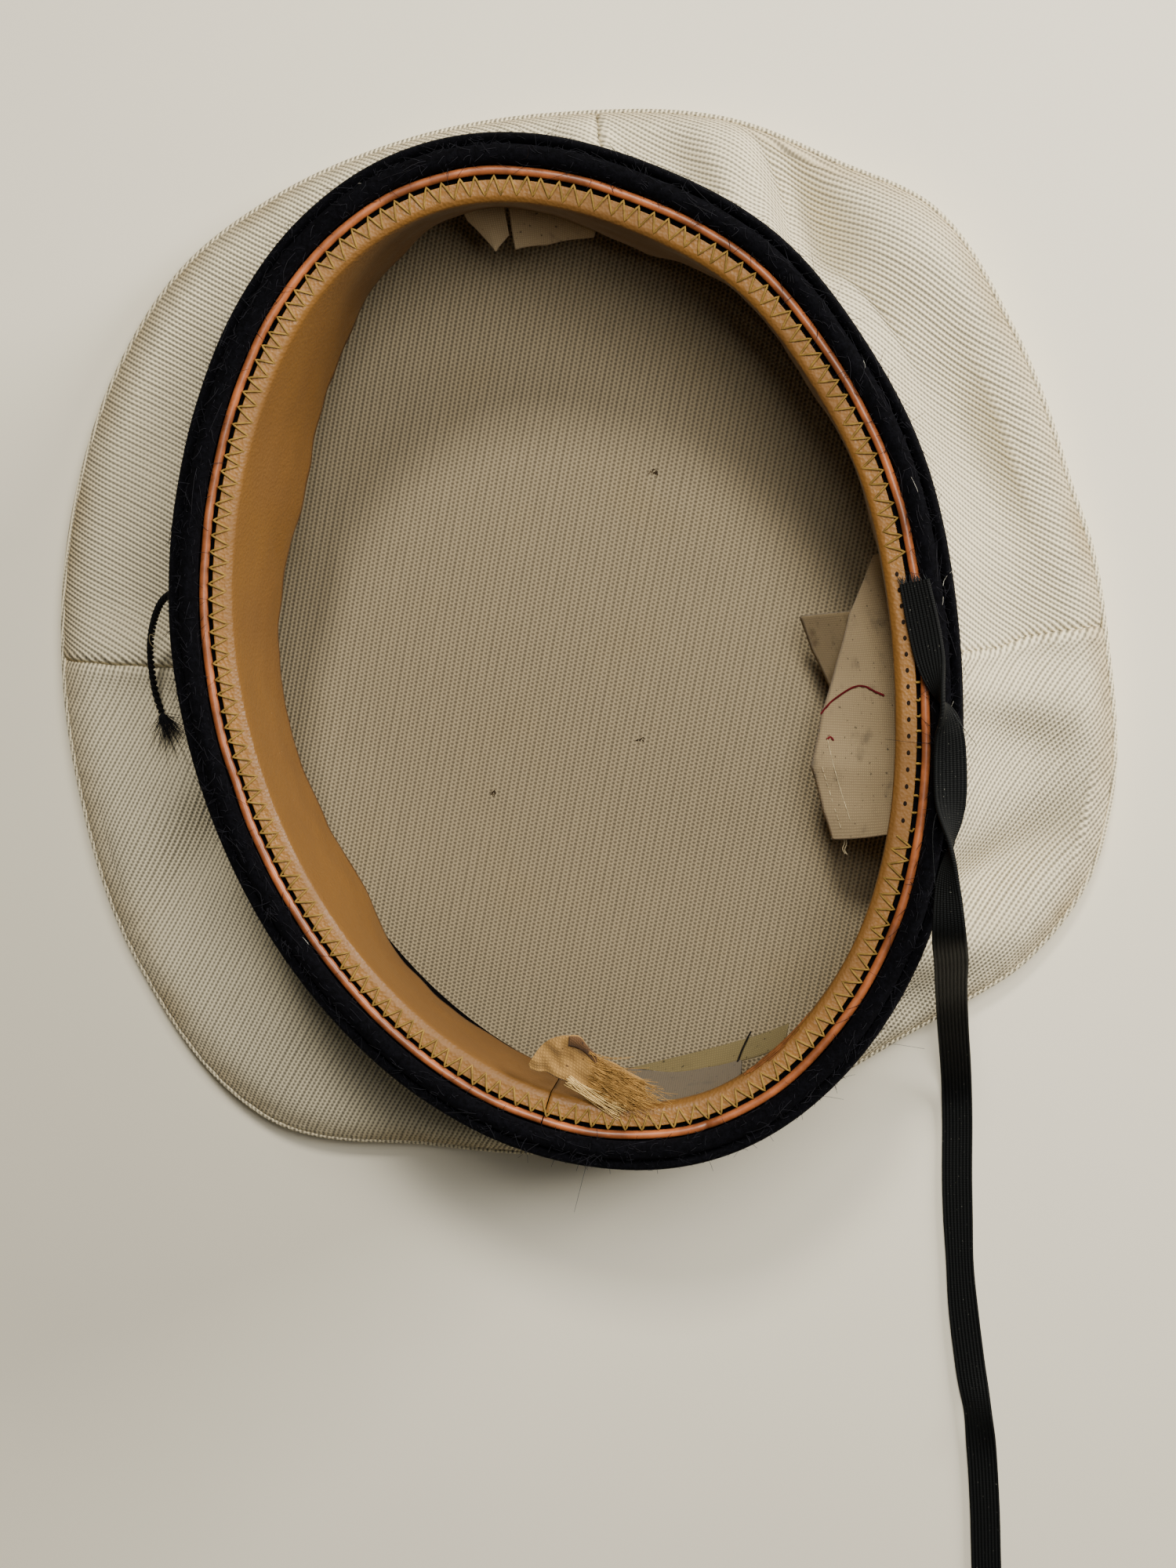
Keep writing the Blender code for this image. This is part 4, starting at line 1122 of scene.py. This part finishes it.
def tape_spots(rows, clear, seed):
    """A tape that hangs from under the leather's edge, gently waved."""
    rows = np.array(rows, float)
    share = np.linspace(0, len(rows) - 1, 16 * (len(rows) - 1) + 1)
    angle, reach, drop, turn = (np.interp(share, np.arange(len(rows)), column) for column in rows.T)
    out = np.linspace(0, 1, 25)[:, None]
    lean = read(RING_SECTIONS, "leather_lean", angle) * MM
    foot = read(RING_SECTIONS, "leather_foot", angle) * MM
    inset = lean - LEATHER / 2 + reach * MM * out
    height = foot - clear - drop * MM * out ** TAPE_SAG
    spots = rim_inset(angle + turn * out, inset, height)
    spots[..., 2] += out * 0.5 * MM * drift(spots[..., :2], 13 * MM, seed)
    return spots


class CAP_OT_tapes(bpy.types.Operator):
    """Makes the sewn-in tapes, left blank, with their hems, stains and loose threads"""

    bl_idname = "sailor_cap.tapes"
    bl_label = "Tapes"

    def execute(self, context):
        settings = context.scene.cap_tapes
        linen = plain_linen("handled_linen", settings.linen, linear("#6f6551"), 0.8)
        glued = plain_linen("glued_tape", settings.stub, linear("#4d3b22"), 0.8)
        # Painted shade: the care tape's linen is painted darker for the shade it hangs in, and its grey
        # marks are stains
        care_linen_shade = plain_linen("greyed_linen", shaded(settings.linen, 0.45)[:3], linear("#4a4438"), 0.5)
        surfaces = {}
        for k, (name, rows) in enumerate(TAPES.items()):
            clear = STUB_CLEAR if name == "side_tape_stub" else TAPE_CLEAR
            spots = surfaces[name] = tape_spots(rows, clear, 70 + k)
            piece = cloth(name + "_cloth", spots, flat_weave(spots))
            wall(piece, TAPE, -1)
            material = {"side_tape_stub": glued, "care_tape": care_linen_shade}.get(name, linen)
            dress(piece, material, "linen_tape", name)
        side = surfaces["side_tape"]
        long = [(59.6, -14.6), (62.2, -11.4), (66.6, -8.1), (69.3, -7.6), (71.6, -8.6), (73.6, -9.4)]
        short = [(61.0, -20.4), (61.9, -19.8), (62.6, -20.6)]
        lines = [laid_on(side, long, 0.3 * MM, 24), laid_on(side, short, 0.2 * MM, 6)]
        silk = spun_thread("red_silk", settings.red_thread)
        dress(strands("red_thread", lines, 0.24 * MM, sides=1), silk, "linen_tape")
        self.add_hem(side)
        self.add_joint_strip()
        return {"FINISHED"}

    def add_joint_strip(self):
        """The olive edge of the cloth's lining beside the care tape, and a dark thread over it."""
        upper = [(14, -101.0, 24.4), (30, -96.5, 25.2), (45, -91.8, 26.0), (53, -88.3, 27.2)]
        lower = [(14, -104.5, 25.2), (30, -100.8, 26.0), (44, -97.2, 27.0), (52, -93.6, 28.2)]
        upper, lower = (smooth_route(np.array(edge) * MM, 40) for edge in (upper, lower))
        share = np.linspace(0, 1, 9)[:, None, None]
        grid = lower + (upper - lower) * share
        strip = wall(cloth("lining_edge", grid, flat_weave(grid)), 0.5 * MM, 1)
        olive = plain_linen("olive_lining", linear("#7d6f48")[:3], linear("#3a3322"), 0.4)
        dress(strip, olive, "linen_tape")
        line = [(40.7, -98.0, 28.6), (42.0, -94.6, 27.6), (43.9, -90.6, 26.9)]
        line = smooth_route(np.array(line) * MM, 10)
        dark = plain("waxed_black_thread", "#15130f", 0.8)
        dress(strands("dark_thread", [line], 0.22 * MM), dark, "linen_tape")

    def add_hem(self, side):
        """Running stitches, a raised hem line and the knotted thread at the tape's corner."""
        thread = plain("white_thread", "#c9b994", 0.8)
        start, end = np.array([59.9, -26.7]), np.array([64.6, -41.4])
        lines = []
        for k in range(8):
            a, b = (start + (end - start) * (k + share) / 8 for share in (0.1, 0.75))
            lines.append(laid_on(side, [a, b], 0.14 * MM, 3))
        lines.append(laid_on(side, [(61.1, -20.2), (63.4, -29.0), (66.6, -38.9)], 0.12 * MM, 20))
        knot = [(65.0, -42.6, 31.0), (65.4, -44.6, 29.6), (65.0, -46.2, 28.4), (65.6, -47.4, 28.0)]
        knot = np.array(knot) * MM
        lines += [smooth_route(knot, 12), smooth_route(knot + np.array([0.5, -0.2, 0.2]) * MM, 12)]
        dress(strands("tape_threads", lines, 0.09 * MM, sides=1), thread, "linen_tape")


def along_route(route, steps):
    """A route's points, its across direction and its upright, as a rolled ribbon has them."""
    line = smooth_route(route, steps)
    spots = line[:, :3] * MM
    level, upright = cross_frame(spots)
    roll = np.radians(line[:, 3:])
    across = level * np.cos(roll) - upright * np.sin(roll)
    face = level * np.sin(roll) + upright * np.cos(roll)
    return spots, across, face


class CAP_OT_ribbon(bpy.types.Operator):
    """Makes the frayed ribbon that is knotted through the sweatband's joint"""

    bl_idname = "sailor_cap.ribbon"
    bl_label = "Joint ribbon"

    def execute(self, context):
        settings = context.scene.cap_tapes
        upper, lower = (smooth_route(np.array(edge) * MM, RIBBON_STEPS) for edge in RIBBON_EDGES)
        along = np.linspace(0, 1, RIBBON_STEPS + 1)
        share = np.linspace(0, 1, RIBBON_ROWS + 1)[:, None, None]
        flat = lower + (upper - lower) * share
        crumple = drift(flat, 7 * MM, 81) * 0.55 + drift(flat, 3 * MM, 82) * 0.25
        crest = 1.1 * bell(share[..., 0] - 0.9, 0.2) * bell(along - 0.5, 0.2)
        height = RIBBON_HEIGHT + (crumple + crest) * MM
        grid = np.concatenate([flat, height[..., None]], -1)
        weave = flat_weave(grid, RIBBON_ROWS // 2)
        piece = cloth("ribbon_cloth", grid, weave)
        wall(piece, 0.4 * MM, 0)
        straw = plain_linen("straw_ribbon", settings.ribbon, linear("#5a3a18"), 0.6, 0.7 * MM)
        dress(piece, straw, "straw_ribbon", "joint_ribbon")
        tip = grid[RIBBON_TIP] + np.array([0.2, 0.3, 0.55]) * MM
        patch = wall(cloth("ribbon_tip", tip, weave[RIBBON_TIP]), 0.3 * MM, 0)
        scorched = plain_linen("scorched_ribbon", linear("#5d3f1f")[:3], linear("#21140a"), 0.8)
        dress(patch, scorched, "straw_ribbon")
        self.add_fray(grid, settings)
        return {"FINISHED"}

    def add_fray(self, grid, settings):
        """The brush of loose strands at the ribbon's end, and the pale glossy ones along its side."""
        luck = np.random.default_rng(91)
        up = np.array([0.0, 0.0, 1.0])
        brush, glossy = [], []
        t = np.linspace(0, 1, 7)[:, None]
        for _ in range(BRUSH_STRANDS):
            row = luck.integers(2, grid.shape[0] - 2)
            column = luck.integers(BRUSH_START, grid.shape[1] - 1)
            root = grid[row, column] + up * 0.3 * MM
            way = np.array([1.0, -0.42, 0.04]) + luck.normal(size=3) * np.array([0.12, 0.14, 0.08])
            length = luck.uniform(3.5, 7.5) * MM
            droop = luck.normal(size=3) * 0.9 * MM * t**2
            brush.append(root + way * length * t + droop + up * 0.5 * MM * np.sin(np.pi * t))
        for _ in range(GLOSSY_STRANDS):
            start = np.array([5.9, -91.2, 76.2]) + luck.normal(size=3) * np.array([0.5, 0.6, 0.25])
            end = np.array([17.2, -97.8, 76.4]) + luck.normal(size=3) * np.array([1.0, 0.7, 0.2])
            sway = luck.normal(size=3) * 0.6
            glossy.append((start + (end - start) * t + sway * np.sin(np.pi * t)) * MM)
        straw = spun_thread("straw_fibre", settings.ribbon, 0.55)
        dress(strands("ribbon_brush", brush, 0.07 * MM, taper=0.5), straw, "straw_ribbon")
        pale = spun_thread("pale_straw", linear("#c9aa6c")[:3], 0.35)
        dress(strands("ribbon_gloss", glossy, 0.11 * MM, taper=0.6), pale, "straw_ribbon")


class CAP_OT_chin_strap(bpy.types.Operator):
    """Makes the black elastic chin strap as a free cord"""

    bl_idname = "sailor_cap.chin_strap"
    bl_label = "Chin strap"

    def execute(self, context):
        elastic = context.scene.cap_elastic
        spots, across, face = along_route(STRAP_ROUTE, STRAP_STEPS)
        length = arc_length(spots)
        half = np.linspace(-0.5, 0.5, 6 * elastic.ribs + 1)
        rib = np.abs(np.cos(np.pi * elastic.ribs * half)) ** 0.8
        thick = (0.08 + 0.42 * rib) * MM
        loop_across = np.concatenate([half, half[::-1], half[:1]])
        loop_face = np.concatenate([thick, -thick[::-1], thick[:1]])
        # It is drawn together a little where it folds, at these lengths
        gather = 1 - 0.08 * bell(length[:, None] - np.array([28, 62, 218]) * MM, 9 * MM).sum(1)
        grid = (
            spots + across * (loop_across[:, None] * STRAP_WIDTH * gather)[..., None]
            + face * loop_face[:, None, None]
        )
        weave = np.stack(np.broadcast_arrays(length, loop_across[:, None] * STRAP_WIDTH), -1)
        strap = cloth("chin_strap_elastic", grid, weave, closed=True, capped=True)
        dress(strap, woven_elastic("black_woven_elastic", elastic), "black_elastic", "chin_strap")
        self.add_ends(spots, across)
        return {"FINISHED"}

    def add_ends(self, spots, across):
        """Threads that stick out of the strap's cut end and its edges."""
        luck = np.random.default_rng(101)
        lines = []
        t = np.linspace(0, 1, 5)[:, None]
        back = spots[0] - spots[3]
        back /= np.linalg.norm(back)
        for _ in range(STRAP_END_THREADS):
            root = spots[0] + across[0] * STRAP_WIDTH * luck.uniform(-0.48, 0.48)
            lines.append(root + (back * luck.uniform(0.4, 1.6) * MM + luck.normal(size=3) * 0.35 * MM) * t)
        loose = [
            [(86.5, -10.5, 82.6), (88.6, -13.5, 81.2), (91.4, -17.0, 79.6)],
            [(85.2, -27.0, 82.0), (82.8, -35.0, 80.6), (84.0, -52.0, 80.2)],
        ]
        lines += [smooth_route(np.array(line) * MM, 16) for line in loose]
        dark = plain("black_thread", "#26292a", 0.8)
        dress(strands("strap_threads", lines, 0.09 * MM, taper=0.6), dark, "black_elastic")


class CAP_OT_cord(bpy.types.Operator):
    """Makes the twisted cord at the left and its frayed end"""

    bl_idname = "sailor_cap.cord"
    bl_label = "Twisted cord"

    def execute(self, context):
        colour = context.scene.cap_wool.colour
        line = smooth_route(np.array(CORD_ROUTE) * MM, 300)
        level, upright = cross_frame(line)
        length = arc_length(line)
        turn = (2 * np.pi * length / PLY_TWIST)[:, None]
        plies = [
            line + PLY_OFFSET * (level * np.cos(turn + start) + upright * np.sin(turn + start))
            for start in (0, np.pi)
        ]
        cord = strands("twisted_cord", plies, PLY_RADIUS, sides=2)
        black = spun_thread("black_cord", shaded(colour, 0.9)[:3], 0.85)
        dress(cord, black, "navy_wool", "band_cord")
        tuft = self.frayed(line[-1], (line[-1] - line[-8]))
        dress(tuft, spun_thread("frayed_cord", shaded(colour, 1.8)[:3], 0.8), "navy_wool", "cord_tuft")
        loop = [(-97.0, 3.2, 36.0), (-98.6, 3.4, 35.0), (-99.0, 1.4, 33.4), (-97.6, -0.2, 33.0)]
        loop = strands("pale_loop", [smooth_route(np.array(loop) * MM, 16)], 0.1 * MM)
        dress(loop, plain("pale_thread", "#8a7d5e", 0.8), "navy_wool")
        return {"FINISHED"}

    def frayed(self, root, way):
        """A tuft of untwisted fibres."""
        luck = np.random.default_rng(111)
        way = way / np.linalg.norm(way)
        t = np.linspace(0, 1, 6)[:, None]
        lines = []
        for _ in range(TUFT_FIBRES):
            spread = luck.normal(size=3) * np.array([0.34, 0.22, 0.16])
            bend = luck.normal(size=3) * 0.22
            length = TUFT_LENGTH * luck.uniform(0.5, 1.0)
            lines.append(root + way * 0.2 * MM + length * ((way + spread) * t + bend * t**2))
        return strands("cord_fray", lines, 0.07 * MM, taper=0.5)


class CAP_OT_stage(bpy.types.Operator):
    """Makes the pale floor, the soft lights and the camera"""

    bl_idname = "sailor_cap.stage"
    bl_label = "Stage"

    def execute(self, context):
        settings = context.scene.cap_stage
        grid = bmesh.new()
        bmesh.ops.create_grid(grid, x_segments=4, y_segments=4, size=3.0)
        mesh = bpy.data.meshes.new("floor")
        grid.to_mesh(mesh)
        grid.free()
        floor = add_piece("floor", mesh)
        material, tree, shader = new_material("painted_board", 0.6)
        spot = add(tree, "TexCoord", output="Object")
        wander = add(tree, "TexNoise", {"Vector": spot, "Scale": 14.0, "Detail": 4.0})
        cover(tree, shader, add(tree, "Mix", {
            FACTOR: wander, UNDER: shaded(settings.floor, 0.97), OVER: shaded(settings.floor, 1.03),
        }, MIXED, **COLOURS))
        mesh.materials.append(material)
        for lamp in LAMPS:
            self.add_light(lamp, getattr(settings, lamp.power))
        world = bpy.data.worlds.new("studio") if context.scene.world is None else context.scene.world
        context.scene.world = world
        world.use_nodes = True
        background = world.node_tree.nodes["Background"]
        background.inputs["Color"].default_value = linear("#e4dfd4")
        background.inputs["Strength"].default_value = WORLD_STRENGTH
        self.add_camera(context)
        return {"FINISHED"}

    def add_light(self, lamp, power):
        """A square lamp that looks at the middle of the cap."""
        light = bpy.data.lights.new(lamp.name, "AREA")
        light.size = lamp.size
        light.energy = power
        light.color = lamp.colour
        holder = bpy.data.objects.new(lamp.name, light)
        holder.location = lamp.place
        holder.rotation_mode = "QUATERNION"
        holder.rotation_quaternion = (LIGHTS_AIM - Vector(lamp.place)).to_track_quat("-Z", "Y")
        bpy.context.scene.collection.objects.link(holder)

    def add_camera(self, context):
        """The photograph's place above the cap, tipped equally both ways off straight down."""
        pitch = yaw = math.radians(CAMERA_TIP)
        right = Vector((math.cos(yaw), 0, -math.sin(yaw)))
        level = math.cos(pitch)
        ahead = Vector((-math.sin(yaw) * level, -math.sin(pitch), -math.cos(yaw) * level))
        up = right.cross(ahead)
        view = bpy.data.cameras.new("camera")
        view.sensor_fit = "VERTICAL"
        view.sensor_height = CAMERA_FILM
        view.lens = CAMERA_LENS
        view.clip_start, view.clip_end = 0.01, 20
        camera = bpy.data.objects.new("camera", view)
        turn = Matrix((right, up, -ahead)).transposed().to_4x4()
        camera.matrix_world = Matrix.Translation(CAMERA_PLACE) @ turn
        context.scene.collection.objects.link(camera)
        context.scene.camera = camera


GROUPS = {
    "cap_cotton": CottonSettings,
    "cap_wool": WoolSettings,
    "cap_leather": LeatherSettings,
    "cap_tapes": TapeSettings,
    "cap_elastic": ElasticSettings,
    "cap_stage": StageSettings,
}
STEPS = [
    CAP_OT_stage, CAP_OT_chin_strap, CAP_OT_cord, CAP_OT_white_top, CAP_OT_navy_band, CAP_OT_sweatband,
    CAP_OT_tapes, CAP_OT_ribbon,
]


class CAP_PT_panel(bpy.types.Panel):
    """Lists the cap's settings and the steps that build it"""

    bl_label = "Sailor cap"
    bl_idname = "CAP_PT_panel"
    bl_space_type = "VIEW_3D"
    bl_region_type = "UI"
    bl_category = "Sailor cap"

    def draw(self, context):
        for group, kind in GROUPS.items():
            box = self.layout.box()
            for name in kind.__annotations__:
                box.prop(getattr(context.scene, group), name)
        for step in STEPS:
            self.layout.operator(step.bl_idname)


def register():
    for kind in [*GROUPS.values(), *STEPS, CAP_PT_panel]:
        bpy.utils.register_class(kind)
    for name, kind in GROUPS.items():
        setattr(bpy.types.Scene, name, PointerProperty(type=kind))


def unregister():
    for name in GROUPS:
        delattr(bpy.types.Scene, name)
    for kind in [CAP_PT_panel, *reversed(STEPS), *reversed(GROUPS.values())]:
        bpy.utils.unregister_class(kind)


def main():
    register()
    for step in STEPS:
        group, name = step.bl_idname.split(".")
        getattr(getattr(bpy.ops, group), name)()


if __name__ == "__main__":
    main()
